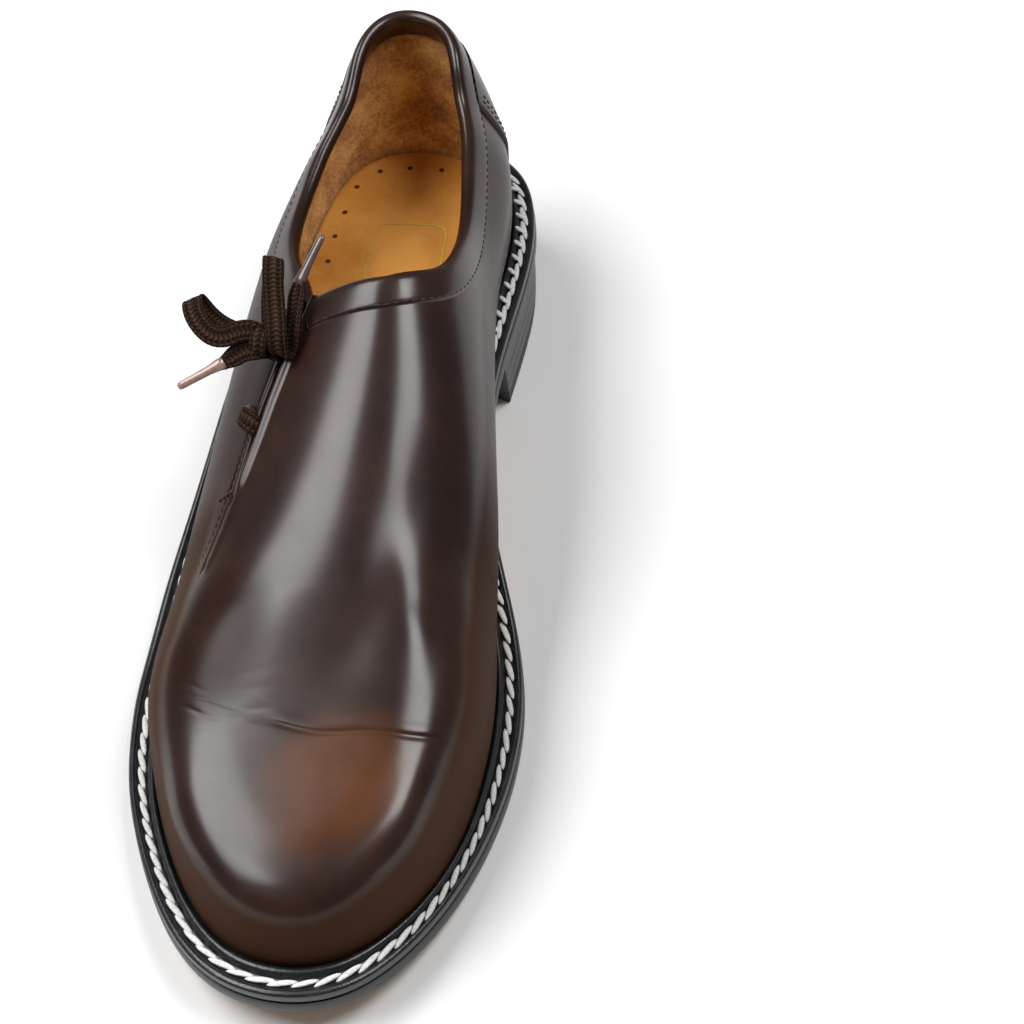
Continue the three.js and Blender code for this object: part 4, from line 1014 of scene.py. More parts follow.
def make_collar():
    """Padded band over the opening's edge, with the stitches just inside its lower edge."""
    sides, ts, ups, place, normal, down, even = COLLAR
    columns = []
    for distance, height in OUTSIDE + OVER + INSIDE:
        if distance <= 0.3:
            spot = place + down * distance + normal * height
        else:
            t, up = on_side(lambda side, *rest: near_skin(side, *rest, distance), sides, ts, ups, down)
            base = smooth_rows(on_side(skin, sides, t, up), 8)
            facing = unit(smooth_rows(on_side(skin_normal, sides, t, up), 10))
            lift = height + (collar_folds(even, distance) if height > 0.5 else 0)
            spot = base + facing * (lift + 0 * even)[:, None]
            if distance == COLLAR_SEAM:
                seam_line = spot, facing
        columns.append(spot)
    build = Build()
    rings = np.stack(columns, 1)
    build.grid(rings, flip=True)
    cap_ends(build, rings, 0, False)
    build.finish("collar_leather", LEATHER, slot="upper", node="collar_band", weld=0.01)
    line, facing = seam_line
    size = run_length(line)
    s = np.arange(2, size[-1] - 2, 2.7)
    stitch_row("collar_stitches", *walk(line, s), (1.8, 0.45, 0.3), 4, BROWN_THREAD,
               up=unit(rows_at(s, size, facing)), lift=-0.02)


make_collar()


def make_lining():
    """Inside of the upper: suede from the insole up to the collar."""
    build = Build()
    t = np.linspace(0, 1, 150)
    at = share_of(t)
    for side in (INNER, OUTER):
        top = np.where(at < THROAT, topline_of[side](np.minimum(at, THROAT)) - 0.05, 1.0)
        up, _ = even_rows(side, t, 0 * at, top, 44)
        place = lean_toe(side, t[:, None], skin(side, t[:, None], up))
        build.grid(place - way_out(place) * (UPPER_WALL + 0.9), flip=side == OUTER)
    build.finish("heel_lining", SUEDE, weld=0.05, slot="insole")


make_lining()


COUNTER_REACH, COUNTER_LEAN, BEAD_RISE = 24, 9, 1.1
COUNTER_THICKNESS, COUNTER_FOOT = 1.15, 0.035  # the foot is a way up


def counter_front(z):
    foot, top = seat_line(0) + BEAD_RISE + 2 * GAP, 2 * INSTEP_RISE
    return COUNTER_REACH + COUNTER_LEAN * (z - foot) / (top - foot)


def counter_edge(side, up, back=0.0):
    """Places round the heel where the counter's front edge, or a line behind it, lies at each way up."""
    low, high = np.zeros_like(up), np.full_like(up, float(angle_of(0.25)))
    for _ in range(40):
        middle = (low + high) / 2
        spot = skin(side, middle, up)
        inside = SOLE_LENGTH / 2 - spot[..., 1] < counter_front(spot[..., 2]) - back
        low, high = np.where(inside, middle, low), np.where(inside, high, middle)
    return low


def counter_top(side, t):
    """Way up to the collar's lower edge."""
    up, far = even_rows(side, t, np.full_like(t, COUNTER_FOOT), topline_of[side](share_of(t)), 120)
    return np.array([np.interp(line[-1] - COLLAR_SEAM, line, ups) for line, ups in zip(far, up)])


def make_counter():
    """Outside piece round the heel, from the welt up to the collar."""
    build = Build()
    # the front edge, rounded down to the upper: distance ahead and height
    edge_rows = [(0.3, 1.05), (0.55, 0.7), (0.7, 0.0)]
    v = np.linspace(0, 1, 56)
    lower = np.clip(v / 0.03, 0, 1)
    for side in (INNER, OUTER):
        t_end = float(angle_of(0.08))
        top = counter_top(side, np.full_like(v, t_end))[0]
        guess = COUNTER_FOOT + (top - COUNTER_FOOT) * v
        for _ in range(3):
            t_end = counter_edge(side, guess)
            guess = COUNTER_FOOT + (counter_top(side, t_end) - COUNTER_FOOT) * v
        t = np.linspace(0, 1, 42)[:, None] * t_end[None]
        top = np.stack([counter_top(side, row) for row in t])
        up = COUNTER_FOOT + (top - COUNTER_FOOT) * v[None]
        base = skin(side, t, up)
        outside = base + skin_normal(side, t, up) * (COUNTER_THICKNESS * lower * np.ones_like(up))[..., None]
        ahead = unit(skin(side, t_end + NUDGE, up[-1]) - base[-1])
        facing = skin_normal(side, t_end, up[-1])
        front = [base[-1] + ahead * distance + facing * (rise * lower)[:, None]
                 for distance, rise in edge_rows]
        build.grid(np.concatenate([outside, np.stack(front)]), flip=side == INNER)
    build.finish("counter_leather", LEATHER, weld=0.02, slot="upper", node="counter")


make_counter()


def make_tongue():
    """Gusset behind the slit, as far as it can be seen through it."""
    build = Build()
    half = 13
    at = np.linspace(THROAT + 0.004, 0.590, 46)
    middle_t, middle_up = angle_of(at), slit_of(np.minimum(at, SLIT_END))
    rib = unit(skin(OUTER, middle_t, middle_up + NUDGE) - skin(OUTER, middle_t, middle_up - NUDGE))
    rows = []
    for far in np.linspace(-half, half, 22):
        t, up = near_skin(OUTER, middle_t, middle_up, rib, far)
        depth = UPPER_WALL + 0.55 + 0.25 * (far / half) ** 2
        rows.append(skin(OUTER, t, up) - skin_normal(OUTER, t, up) * depth)
    front = np.stack(rows)
    build.grid(front)
    build.grid(front - way_out(front) * 1.1, flip=True)
    build.finish("gusset_leather", LINING_DARK, slot="upper", node="tongue", weld=0.01)


make_tongue()


def sole_place(side, t, inset, height):
    """Places at an inset from the sole's edge and a height over its underside."""
    x, along = plan_point(side, t, inset)
    return at3(x, along, sole_rise(along) + height)


def ring_profile(build, profile, count, materials=None):
    """A closed ring round the sole. profile(side, t) gives rows of inset and height over its underside."""
    t = np.linspace(0, 1, count)
    sheets = [np.stack([sole_place(side, t, inset, height) for inset, height in profile(side, t)], 1)
              for side in (INNER, OUTER)]
    mats = 0 if materials is None else np.repeat(np.asarray(materials)[None], count - 1, 0)
    for side, sheet in zip((INNER, OUTER), sheets):
        build.grid(sheet, flip=side == OUTER, material=mats)
    return sheets


def fill(build, sheets, column, flip, material=0, steps=14):
    """Closes the ring with a sheet from side to side."""
    share = np.linspace(0, 1, steps)[None, :, None]
    rows = sheets[0][:, column, None] * (1 - share) + sheets[1][:, column, None] * share
    build.grid(rows, flip=flip, material=material)


EDGE_STEP, LEDGE, CHANNEL_DEPTH = 0.5, 9, 1.0
WELT_TOP = OUTSOLE_THICKNESS + WELT_THICKNESS
RIM_END, CHANNEL_MIDDLE, BEAD_START = 0.30, 0.47, 0.66


def welt_rows(side, t):
    """Rim bead, stitch channel and inner bead, as shares of the welt's width at each place."""
    m = margin_at(side, t)
    floor = WELT_TOP - CHANNEL_DEPTH
    return [
        (EDGE_STEP + 0 * m, OUTSOLE_THICKNESS + 0.4), (0.25 + 0 * m, OUTSOLE_THICKNESS + 1.0),
        (0.25 + 0 * m, floor + 0.1), (0.35 + 0 * m, floor + 0.5), (0.06 * m + 0.4, WELT_TOP - 0.15),
        (0.12 * m + 0.4, WELT_TOP + 0.12), (0.18 * m + 0.3, WELT_TOP + 0.1), (0.24 * m + 0.2, WELT_TOP - 0.3),
        (RIM_END * m, floor + 0.1), (0.34 * m, floor), (0.58 * m, floor), (0.62 * m, floor + 0.2),
        (BEAD_START * m, floor + 0.7), (0.70 * m, WELT_TOP + 0.55), (0.76 * m, WELT_TOP + 1.05),
        (0.83 * m, WELT_TOP + 1.25), (0.90 * m, WELT_TOP + 1.1), (m - 0.7, WELT_TOP + 0.6),
        (m - 0.1, WELT_TOP - 0.05), (m + LEDGE, WELT_TOP - 0.1), (m + LEDGE, OUTSOLE_THICKNESS + 0.4),
        (EDGE_STEP + 0 * m, OUTSOLE_THICKNESS + 0.4),
    ]


def make_welt():
    """Black welt all round, with its two beads and the channel between them."""
    build = Build()
    ring_profile(build, welt_rows, 340)
    build.finish("welt_leather", WELT_BLACK, slot="welt", node="welt", weld=0.01)


make_welt()


WELT_STITCH, BRAID_END = 5.9, 0.44


def make_welt_stitches():
    """A row of white stitches in the channel all round, and a second one across it from the waist back."""
    height = WELT_TOP - CHANNEL_DEPTH + 0.25
    t = np.linspace(0, 1, 700)
    outer, inner = (sole_place(side, t, CHANNEL_MIDDLE * margin_at(side, t), height)
                    for side in (OUTER, INNER))
    line = np.concatenate([outer, inner[::-1][1:]])
    length = run_length(line)[-1]
    count = int(length / WELT_STITCH)
    place, run = walk(line, (np.arange(count) + 0.5) * length / count, 0.4)
    stitch_row("welt_stitches", place, run, (7.9, 1.75, 1.0), 11, WHITE_THREAD, slot="welt", lift=0.1)
    for side, name in ((INNER, "inner"), (OUTER, "outer")):
        t = np.linspace(0, float(angle_of(BRAID_END)), 400)
        line = sole_place(side, t, BEAD_START * margin_at(side, t), WELT_TOP + 0.2)
        spot, runs = walk(line, np.arange(2, run_length(line)[-1], WELT_STITCH))
        mixed = unit(runs * 0.62 + np.cross((0, 0, 1), runs) * 0.78 * side)
        stitch_row(f"braid_stitches_{name}", spot, mixed, (3.8, 1.6, 1.2), 0, WHITE_THREAD, slot="welt",
                   lift=0.35)


make_welt_stitches()

SOLE_CHANNEL = 7.4


def sole_rows(side, t):
    """Edge of the sole, its underside and the channel that its stitches lie in."""
    z = OUTSOLE_THICKNESS
    c = SOLE_CHANNEL
    rows = [(14, z), (1.0, z), (0.25, z - 0.2), (0.0, z - 0.8), (0.0, 1.6), (0.15, 0.8), (0.6, 0.2),
            (1.5, 0.0), (c - 0.9, 0.0), (c - 0.6, 0.5), (c + 0.6, 0.5), (c + 0.9, 0.0), (14, 0.0)]
    return [(np.full_like(t, inset), height) for inset, height in rows]


def make_outsole():
    """Leather sole: black edge, tan underside, and a dark channel with stitches ahead of the heel."""
    build = Build()
    black, tan, dark = 0, 1, 2
    sheets = ring_profile(build, sole_rows, 240, materials=[black] * 7 + [tan, dark, dark, dark, tan])
    fill(build, sheets, 0, True, black)
    fill(build, sheets, -1, False, tan, 24)
    build.finish("outsole_leather", [EDGE_BLACK, SOLE_TAN, CHANNEL_TAN], slot="outsole", node="outsole",
                 weld=0.01, sharp=50)
    for side, name in ((INNER, "inner"), (OUTER, "outer")):
        t = np.linspace(float(angle_of(0.25)), 1, 500)
        line = sole_place(side, t, SOLE_CHANNEL, 0.55)
        spot, runs = walk(line, np.arange(1, run_length(line)[-1], 3.4))
        stitch_row(f"sole_stitches_{name}", spot, runs, (2.6, 0.9, 0.7), 6, OLIVE_THREAD, up=(0, 0, -1),
                   slot="outsole")


make_outsole()

INSOLE_TOP = WELT_TOP + GAP + 3.2


def insole_rows(side, t):
    inset, top = margin_at(side, t) + UPPER_WALL + 1.1, INSOLE_TOP
    return [(inset + 10, top - 3.0), (inset, top - 3.0), (inset - 0.2, top - 1.2), (inset + 0.1, top - 0.4),
            (inset + 0.8, top - 0.1), (inset + 2.5, top), (inset + 6, top)]


def on_insole(x, along, lift):
    return at3(x, along, sole_rise(along) + INSOLE_TOP + 0.02 + lift)


# Places of the pin holes: x and along
PIN_HOLES = [(-21.7, 60.2), (-21.3, 49.6), (-19.8, 39.2), (-17.8, 28.0), (-11.5, 20.8), (-2.3, 18.9),
             (7.8, 19.2), (16.2, 21.6), (21.6, 29.0), (23.8, 39.2), (25.0, 49.6), (25.4, 60.2)]
FRAME_LEFT, FRAME_RIGHT, FRAME_BACK, FRAME_FRONT, FRAME_ROUND = -9.8, 13.4, 42.8, 79.0, 4.2


def make_insole():
    """Insole with its pin holes and the bare frame line."""
    build = Build()
    sheets = ring_profile(build, insole_rows, 160)
    fill(build, sheets, 0, False)
    fill(build, sheets, -1, True, steps=24)
    build.finish("insole_leather", INSOLE, slot="insole", node="insole", weld=0.01)

    # the pin holes are shallow dimples coloured as painted shade for their depth
    holes = Build()
    turn = full_turn(16)
    for x, along in PIN_HOLES:
        rings = [on_insole(x + r * np.cos(turn), along + r * np.sin(turn), lift)
                 for r, lift in ((0.85, 0.02), (0.7, 0.10), (0.5, 0.06), (0.02, 0.04))]
        holes.grid(np.stack(rings), wrap=True, flip=True)
    holes.finish("insole_pin_holes", PIN_HOLE_PAINTED_SHADE, slot="insole", weld=0.001)

    # middles of the frame line's four round corners, with the angle where each arc starts
    left, right = FRAME_LEFT + FRAME_ROUND, FRAME_RIGHT - FRAME_ROUND
    back, front = FRAME_BACK + FRAME_ROUND, FRAME_FRONT - FRAME_ROUND
    line = []
    for x, along, start in ((right, back, 0), (left, back, -90), (left, front, -180), (right, front, -270)):
        arc = np.radians(start - 90 * np.arange(9) / 8)
        line += zip(x + FRAME_ROUND * np.cos(arc), along + FRAME_ROUND * np.sin(arc))
    line = np.array(line)
    middle = line.mean(0)
    foil = Build()
    inner = line - unit(line - middle) * 0.75
    top = np.stack([on_insole(p[:, 0], p[:, 1], 0.10) for p in (line, inner)])
    foil.grid(top, wrap=True)
    foil.finish("insole_frame_line", GOLD, slot="insole", weld=0.001)


make_insole()

# The heel's front face in plan, from its outer end to its inner one, and how far its foot lies behind its top
HEEL_SLOPE, HEEL_HALF = 6, 0.36 * BALL_WIDTH
BREAST = Curve([-1, -0.5, 0, 0.5, 1], [5, 1.6, 0, 3.2, 10])


def heel_outline(inset, z, count=110):
    """Closed plan of the heel at a height: inner side, front face, outer side."""
    slope = HEEL_SLOPE * (z + 1) / (HEEL_HEIGHT + 1) - HEEL_SLOPE

    def front(x):
        return HEEL_LENGTH + BREAST(np.clip(x / HEEL_HALF, -1, 1)) + slope

    rows = []
    for side in (INNER, OUTER):
        t = np.linspace(0, float(angle_of(0.36)), 400)
        x, along = plan_point(side, t, inset)
        keep = along < front(x)
        last = int(np.argmin(keep)) if not keep.all() else len(t)
        x, along = x[:last], along[:last]
        size = np.concatenate([[0], np.cumsum(np.hypot(np.diff(x), np.diff(along)))])
        s = np.linspace(0, size[-1], count)
        rows.append(np.stack([np.interp(s, size, x), np.interp(s, size, along)], -1))
    x = np.linspace(rows[0][-1, 0], rows[1][-1, 0], 40)[1:-1]
    return np.concatenate([rows[0], np.stack([x, front(x)], -1), rows[1][::-1][:-1]])


HEEL_SHARP = 35


def heel_mesh(name, levels, material, slot, node):
    """A closed layer of the heel. levels gives rows of inset and height."""
    build = Build()
    plans = [heel_outline(inset, z) for inset, z in levels]
    rings = np.stack([at3(plan[:, 0], plan[:, 1], z) for plan, (_, z) in zip(plans, levels)])
    build.grid(rings, wrap=True)
    for end in (0, -1):
        ring = rings[end]
        middle = ring.mean(0)
        cap = np.stack([middle + (ring - middle) * share for share in (1, 0.9, 0.5, 0)])
        build.grid(cap, wrap=True, flip=end == 0)
    return build.finish(name, material, slot=slot, node=node, weld=0.01, sharp=HEEL_SHARP)


def stack_levels():
    """Inset and height up the stack, with a fine line between its layers."""
    bottom, top, layers = LIFT_THICKNESS + 0.25, HEEL_HEIGHT - 0.25, 3
    levels = []
    for k in range(layers):
        low, high = (bottom + (top - bottom) * q / layers for q in (k, k + 1))
        for share, dent in ((0.0, 0.06), (0.04, 0.0), (0.5, -0.02), (0.96, 0.0), (1.0, 0.06)):
            z = low + (high - low) * share
            levels.append((1.4 - 0.6 * (z - bottom) / (top - bottom) + dent, z))
    return levels


GROOVES, GROOVE_WIDTH, GROOVE_DEPTH, GROOVE_TURN = (30, 51.5), 1.6, 1.2, -8


def cut_grooves(lift):
    """Two grooves across the underside of the lift."""
    turn = math.radians(GROOVE_TURN)
    run, side = np.array([math.cos(turn), math.sin(turn), 0]), np.array([-math.sin(turn), math.cos(turn), 0])
    for along in GROOVES:
        middle = at3(0, along, 0)
        corners = [middle + run * 90 * a + side * GROOVE_WIDTH / 2 * b + np.array([0, 0, GROOVE_DEPTH * c])
                   for c in (-1, 1) for b in (-1, 1) for a in (-1, 1)]
        faces = [(0, 2, 3, 1), (4, 5, 7, 6), (0, 1, 5, 4), (2, 6, 7, 3), (0, 4, 6, 2), (1, 3, 7, 5)]
        mesh = bpy.data.meshes.new("groove")
        mesh.from_pydata((np.array(corners) * MM).tolist(), [], faces)
        tool = bpy.data.objects.new("groove", mesh)
        bpy.context.scene.collection.objects.link(tool)
        cut = lift.modifiers.new("groove", "BOOLEAN")
        cut.operation, cut.solver, cut.object = "DIFFERENCE", "EXACT", tool
        shape = bpy.data.meshes.new_from_object(lift.evaluated_get(bpy.context.evaluated_depsgraph_get()))
        lift.modifiers.clear()
        lift.data = shape
        bpy.data.objects.remove(tool)
    lift.data.set_sharp_from_angle(angle=math.radians(HEEL_SHARP))


heel_mesh("heel_stack_leather", stack_levels(), HEEL_EDGE, "welt", "heel_stack")
LIFT_LEVELS = [(2.7, 0.0), (2.1, 0.2), (1.8, 0.7), (1.6, 3), (1.45, 5.3), (1.7, LIFT_THICKNESS)]
cut_grooves(heel_mesh("heel_lift_rubber", LIFT_LEVELS, RUBBER, "heel_rubber", "heel_lift"))

EYELET_TOP, EYELET_LOW, EYELET_SETBACK, EYELET_BORE = 0.420, 0.477, 7.5, 2.0
LACE_WIDTH, LACE_THICKNESS, LACE_STEP, LACE_RIBS, COLLAR_THICKNESS = 6, 1.3, 0.5, 5, 1.1
END_WIDTH, END_TAPER = 3.2, 6  # the lace narrows to this width over the last millimetres before its tip


def beside_slit(at, distance):
    """Way up beside the slit at a distance down the quarter."""
    t, near = float(angle_of(at)), float(slit_of(at))
    start, far = skin(OUTER, t, near), 0.3
    for _ in range(24):
        up = (far + near) / 2
        if np.linalg.norm(skin(OUTER, t, up) - start) > distance:
            far = up
        else:
            near = up
    return t, near


def make_eyelet(name, at, node, lift):
    """Flanged ring in the quarter."""
    t, up = beside_slit(at, EYELET_SETBACK)
    middle, out = skin(OUTER, t, up), skin_normal(OUTER, t, up)
    side = unit(np.cross(out, (0.3, 1, 0.1)))
    other = np.cross(out, side)
    turn = full_turn(40)
    # radius and height over the leather, from the bore to the flange's edge
    profile = [(EYELET_BORE, -1.9), (EYELET_BORE - 0.05, 0.3), (EYELET_BORE + 0.12, 0.85), (2.45, 1.15),
               (2.85, 1.1), (3.25, 0.8), (3.6, 0.35), (3.65, -0.1), (3.4, -0.2)]
    rings = [middle + side * r * np.cos(turn)[:, None] + other * r * np.sin(turn)[:, None] + out * (h + lift)
             for r, h in profile]
    build = Build()
    build.grid(np.stack(rings), wrap=True)
    build.finish(name, EYELET_METAL, slot="eyelet", node=node, weld=0.001)


make_eyelet("eyelet_ring_top", EYELET_TOP, "eyelet_top", 0.25)
make_eyelet("eyelet_ring_low", EYELET_LOW, "eyelet_low", 0.0)


def lace_sections(count, width, thickness=LACE_THICKNESS):
    """Flat sections with round edges and a few lengthwise ribs on both faces. width may vary."""
    flat = round_section(1, 1, 40, 3.2)
    rib = 1 + 0.22 * np.cos(flat[:, 0] * 2 * np.pi * LACE_RIBS) * (np.abs(flat[:, 0]) < 0.46)
    section = np.stack([flat[:, 0], flat[:, 1] * rib], -1)
    size = np.stack(np.broadcast_arrays(width, thickness * np.ones(count)), -1)
    return section[None] * size[:, None]


# share: way from the eyelet to the middle of the slit; lift over the leather; part of the layer on it; width
BAR_PATH = [(0.00, -1.3, 0.0, 2.9), (0.00, 0.9, 0.0, 3.1), (0.06, 2.1, 0.2, 3.8), (0.28, 2.8, 0.8, 5.4),
            (0.56, 2.4, 1.0, 5.9), (0.80, 1.7, 1.0, 5.9), (0.95, 0.7, 1.0, 5.9), (1.00, -0.5, 0.6, 5.7),
            (1.00, -1.6, 0.0, 5.6)]


def make_bar(name, at, node, layer, slant):
    """Lace out of an eyelet and under the vamp's edge, which it meets further ahead by slant."""
    _, eyelet = beside_slit(at, EYELET_SETBACK)
    places, widths = [], []
    for share, lift, extra, width in BAR_PATH:
        t = float(angle_of(at + slant * share))
        up = eyelet + (float(slit_of(at + slant * share)) - eyelet) * share
        places.append(skin(OUTER, t, up) + skin_normal(OUTER, t, up) * (lift + extra * layer))
        widths.append(width)
    line, index = fine_curve(places, LACE_STEP)
    width = np.interp(index, np.arange(len(widths)), widths)
    here, further = (skin(OUTER, angle_of(spot), slit_of(spot)) for spot in (at, at + 0.02))
    ahead = unit(further - here)
    build = Build()
    ribbon(build, line, np.broadcast_to(ahead, line.shape), lace_sections(len(line), width))
    build.finish(name, BRAID, slot="lace", node=node, weld=0.001)


make_bar("lace_crossing_top", EYELET_TOP, "lace_bar_top", GAP + COLLAR_THICKNESS, 0.004)
make_bar("lace_crossing_low", EYELET_LOW, "lace_bar_low", 0, 0.018)

# Bow: places are x, along and z, with the direction of the lace's width at each. Each lace comes up to the
# knot, makes its loop, goes back through the knot and leaves it as an end.
SIDE_LACE = [
    ((-22.1, 134.2, 75.9), (0.99, -0.12, -0.07)), ((-22.4, 133.8, 78.8), (0.97, -0.26, 0.04)),
    ((-23.2, 132.8, 81.8), (0.72, -0.60, 0.35)), ((-24.9, 132.4, 84.2), (0.25, -0.78, 0.57)),
    ((-27.2, 132.9, 85.2), (-0.09, -0.78, 0.62)), ((-29.6, 133.9, 85.3), (-0.29, -0.73, 0.62)),
    ((-32.2, 135.2, 85.0), (-0.26, -0.74, 0.62)), ((-35.4, 135.5, 85.3), (0.08, -0.79, 0.60)),
    ((-38.4, 134.2, 86.6), (0.52, -0.71, 0.47)), ((-40.8, 131.8, 88.1), (0.79, -0.54, 0.29)),
    ((-42.3, 128.7, 89.2), (0.91, -0.38, 0.15)), ((-42.7, 126.1, 89.0), (0.90, -0.41, 0.17)),
    ((-42.1, 125.0, 87.2), (0.79, -0.54, 0.29)), ((-40.3, 125.8, 84.9), (0.70, -0.62, 0.37)),
    ((-37.5, 127.4, 82.7), (0.62, -0.66, 0.42)), ((-33.4, 129.1, 81.1), (0.42, -0.75, 0.52)),
    ((-28.9, 130.3, 80.7), (0.15, -0.79, 0.59)), ((-25.1, 131.4, 80.5), (0.29, -0.78, 0.56)),
    ((-22.9, 133.2, 80.2), (0.46, -0.53, 0.71)), ((-24.0, 135.4, 80.5), (-0.14, -0.77, 0.62)),
    ((-26.7, 136.3, 80.7), (-0.29, -0.73, 0.62)), ((-29.4, 137.6, 80.1), (-0.48, -0.65, 0.59)),
    ((-32.1, 139.2, 79.1), (-0.54, -0.62, 0.57)), ((-34.1, 140.2, 78.4), (-0.51, -0.63, 0.58)),
]
UP_LACE = [
    ((-17.3, 132.2, 75.3), (0.99, -0.12, -0.07)), ((-19.1, 131.4, 75.9), (0.99, -0.12, -0.07)),
    ((-20.6, 129.5, 77.9), (0.99, -0.12, -0.07)), ((-21.4, 125.4, 81.7), (0.99, -0.12, -0.07)),
    ((-21.7, 121.2, 85.3), (0.99, -0.12, -0.07)), ((-21.6, 117.1, 89.0), (0.99, -0.10, -0.09)),
    ((-21.5, 114.5, 92.0), (0.99, -0.04, -0.13)), ((-21.3, 114.3, 94.6), (0.98, 0.04, -0.19)),
    ((-20.8, 117.0, 95.1), (0.99, -0.01, -0.15)), ((-20.4, 121.0, 92.9), (0.99, -0.08, -0.10)),
    ((-19.7, 125.5, 90.0), (0.99, -0.12, -0.07)), ((-18.8, 130.4, 87.3), (0.99, -0.12, -0.07)),
    ((-18.2, 134.3, 84.6), (0.99, -0.12, -0.07)), ((-17.9, 135.8, 81.4), (0.99, -0.01, -0.15)),
    ((-16.9, 135.3, 78.8), (0.89, 0.40, -0.21)), ((-15.7, 133.4, 78.8), (0.75, 0.66, 0.02)),
    ((-14.9, 131.2, 81.0), (0.82, 0.42, 0.39)), ((-14.6, 127.8, 83.9), (0.82, 0.37, 0.43)),
    ((-14.3, 123.8, 86.9), (0.85, 0.41, 0.34)), ((-13.8, 120.0, 89.5), (0.89, 0.42, 0.18)),
    ((-13.3, 117.9, 90.9), (0.91, 0.41, 0.10)),
]
SIDE_TIP, UP_TIP = (-45.4, 145.7, 74.6), (-7.9, 107.4, 97.9)
KNOT_PLACE = (-23.0, 132.5, 80.5)


def lace_line(rows):
    """Places every step along a lace, and the direction of its width at each."""
    line, index = fine_curve([at3(*place) for place, _ in rows], LACE_STEP)
    wide = np.array([way for _, way in rows], float)
    wide[:, 1] *= -1
    return line, unit(rows_at(index, np.arange(len(rows)), wide))


def make_tip(name, line, wide, end, node, material):
    """Rolled film at the end of a lace, pressed flat near the braid that it grips."""
    end = at3(*end)
    reach = float(np.linalg.norm(end - line[-1]))
    run = unit(end - line[-1])
    side = unit(wide[-1] - run * (wide[-1] * run).sum())
    other = np.cross(run, side)
    turn = full_turn(24)
    # share of its length, or millimetres behind the lace's end, then half its width and half its thickness
    profile = [(-1.6, 1.7, 0.75), (-1.5, 1.9, 1.0), (0.0, 1.75, 1.05), (0.25, 1.3, 1.0), (0.6, 1.15, 0.95),
               (0.9, 1.1, 0.9), (0.97, 1.0, 0.8), (1.0, 0.6, 0.5), (1.0, 0.01, 0.01)]
    rings = []
    for far, half, thick in profile:
        place = line[-1] + run * (far if far <= 0 else far * reach)
        curl = 1 + 0.10 * np.cos(turn * 3 + far * 2)
        rings.append(place + side * (np.cos(turn) * half * curl)[:, None]
                     + other * (np.sin(turn) * thick)[:, None])
    build = Build()
    build.grid(np.stack(rings), wrap=True)
    return build.finish(name, material, slot="lace_tip", node=node, weld=0.001)


def make_knot():
    """Two turns of lace over the crossing of the loops, and the lumps that they press out."""
    build = Build()
    middle = at3(*KNOT_PLACE)
    # axis, way up, half sizes, width of the lace and how far a turn leans
    turns = [((0.95, 0.25, 0.05), (-0.05, 0.3, 1), (3.9, 3.9), 5.2, 0.3),
             ((0.3, 0.7, -0.6), (0.9, -0.3, 0.2), (3.6, 2.9), 4.8, 0.2)]
    for axis, up, size, width, lean in turns:
        axis = unit(np.array([axis[0], -axis[1], axis[2]]))
        up = np.array([up[0], -up[1], up[2]])
        up = unit(up - axis * (axis * up).sum())
        other = np.cross(axis, up)
        turn = np.linspace(0, 2 * np.pi, 49)
        line = (middle + other * np.cos(turn)[:, None] * size[0] + up * np.sin(turn)[:, None] * size[1]
                + axis * (lean * np.sin(turn * 2))[:, None])
        ribbon(build, line, np.broadcast_to(axis, line.shape), lace_sections(len(line), width, 1.5))
    turn = full_turn(24)
    rings = []
    for k in range(13):
        lift = -math.cos(math.pi * k / 12)
        radius = math.sin(math.pi * k / 12) + 0.01
        bulge = 1 + 0.12 * np.sin(turn * 3 + k * 0.5)
        round_it = [half * radius * wave * bulge for half, wave in ((3.6, np.cos(turn)), (3.3, np.sin(turn)))]
        rings.append(middle + np.stack([*round_it, np.full(24, 2.9 * lift)], -1))
    build.grid(np.stack(rings), wrap=True)
    return build.finish("lace_knot_turns", BRAID, slot="lace", node="lace_knot", weld=0.001)


def make_bow():
    """Knot, both laces with their loops and ends, and the tips on them."""
    knot = make_knot()
    laces = (("lace_side", SIDE_LACE, SIDE_TIP, ("lace_loop_side", "lace_end_low"), "lace_tip_low", PALE_TIP,
              [knot]),
             ("lace_up", UP_LACE, UP_TIP, ("lace_loop_up", "lace_end_high"), "lace_tip_high", LACE_TIP_PAINTED_SHADE, []))
    for name, rows, end, nodes, tip_node, tip_material, on_it in laces:
        line, wide = lace_line(rows)
        left = np.linspace(len(line), 1, len(line)) * LACE_STEP
        width = END_WIDTH + (LACE_WIDTH - END_WIDTH) * ease(left, 0, END_TAPER)
        build = Build()
        ribbon(build, line, wide, lace_sections(len(line), width))
        lace = build.finish(name, BRAID, slot="lace", node=nodes, weld=0.001)
        tip = make_tip(f"{name}_tip", line, wide, end, tip_node, tip_material)
        length = float(run_length(line)[-1])
        tuple(map(float, line[0] * MM))
        [tuple(map(float, p * MM)) for p in line[::2]]
        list(on_it)


make_bow()


def seam(name, side, places, step, size, turn, lift):
    """A row of brown stitches over the leather. size is their length, width and height."""
    t, up = places
    far = run_length(skin(side, t, up))
    s = np.arange(step / 2, far[-1], step)
    t, up = np.interp(s, far, t), np.interp(s, far, up)
    place = skin(side, t, up)
    stitch_row(name, place, unit(np.gradient(place, axis=0)), size, turn, BROWN_THREAD,
               up=skin_normal(side, t, up), lift=lift)


def below_slit(at, distance):
    """Places on the quarter at a distance from the slit's line."""
    t, up = angle_of(at), slit_share(at)
    rib = unit(skin(OUTER, t, up - NUDGE) - skin(OUTER, t, up))
    return near_skin(OUTER, t, up, rib, distance)


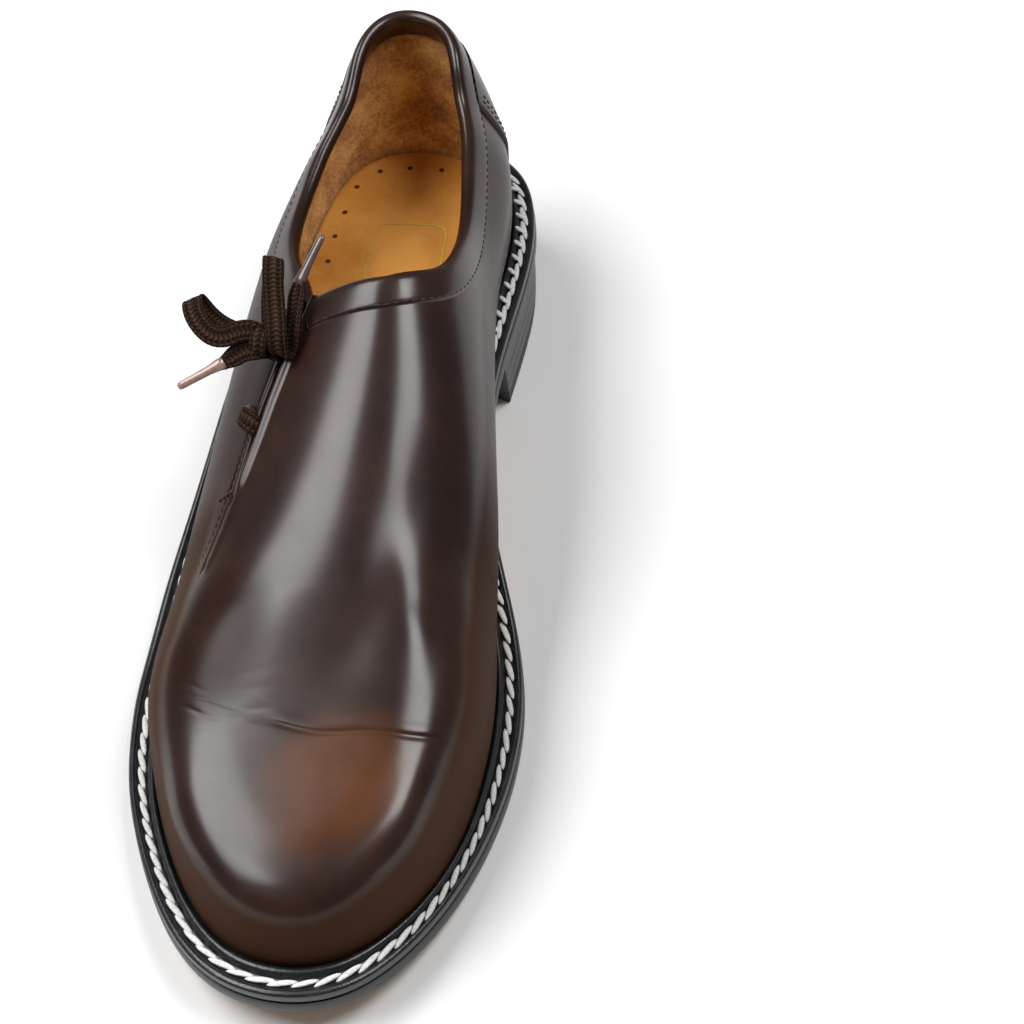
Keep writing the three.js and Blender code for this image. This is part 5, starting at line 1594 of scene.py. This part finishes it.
def make_seams():
    v = np.linspace(0.02, 1, 90)
    for side, name in ((INNER, "inner"), (OUTER, "outer")):
        up = 0.06 + (float(topline_of[side](0.09)) - 0.16) * v
        for row, back in enumerate((2.0, 4.2)):
            seam(f"counter_stitches_{name}_{row}", side, (counter_edge(side, up, back), up), 2.5,
                 (1.7, 0.42, 0.32), 4, COUNTER_THICKNESS + 0.02)
    # quarter's edge along the slit and the seam ahead of it, then the bar tack across the foot of the slit
    beside = below_slit(np.linspace(0.470, 0.630, 80), 3.6)
    seam("quarter_stitches", OUTER, beside, 2.4, (1.6, 0.42, 0.3), 4, 0.08)
    across = below_slit(np.full(14, 0.552), np.linspace(0.8, 8.4, 14)[:, None])
    seam("bar_tack", OUTER, across, 1.7, (1.4, 0.6, 0.55), 0, 0.1)


make_seams()

FLOOR_HALF, LIGHT_TARGET = 6, (0, 0, 0.05)


def make_floor():
    """White floor, wide enough for every view."""
    mesh = bpy.data.meshes.new("floor")
    h = FLOOR_HALF
    mesh.from_pydata([(-h, -h, 0), (h, -h, 0), (h, h, 0), (-h, h, 0)], [], [(0, 1, 2, 3)])
    paint = Paint("floor_white", Roughness=0.9, Specular_IOR_Level=0.1)
    mesh.materials.append(paint.set(Base_Color=(0.93, 0.93, 0.93)))
    floor = bpy.data.objects.new("floor", mesh)
    bpy.context.scene.collection.objects.link(floor)


def area_light(name, place, size, power):
    """A soft light aimed at the shoe: place and size in metres, power in watts."""
    data = bpy.data.lights.new(name, "AREA")
    data.shape, data.size, data.size_y, data.energy = "RECTANGLE", size[0], size[1], power
    light = bpy.data.objects.new(name, data)
    light.location = place
    light.rotation_euler = (Vector(LIGHT_TARGET) - Vector(place)).to_track_quat("-Z", "Y").to_euler()
    bpy.context.scene.collection.objects.link(light)


make_floor()
area_light("left_light", (-0.86, 0.05, 1.5), (1.3, 0.85), 29)
area_light("right_light", (0.74, 0.12, 1.5), (0.75, 0.6), 14)
world = bpy.data.worlds.new("studio")
world.use_nodes = True
world.node_tree.nodes["Background"].inputs["Color"].default_value = (0.95, 0.97, 1.0, 1)
world.node_tree.nodes["Background"].inputs["Strength"].default_value = 0.14
bpy.context.scene.world = world
bpy.context.scene.view_settings.view_transform = "Standard"
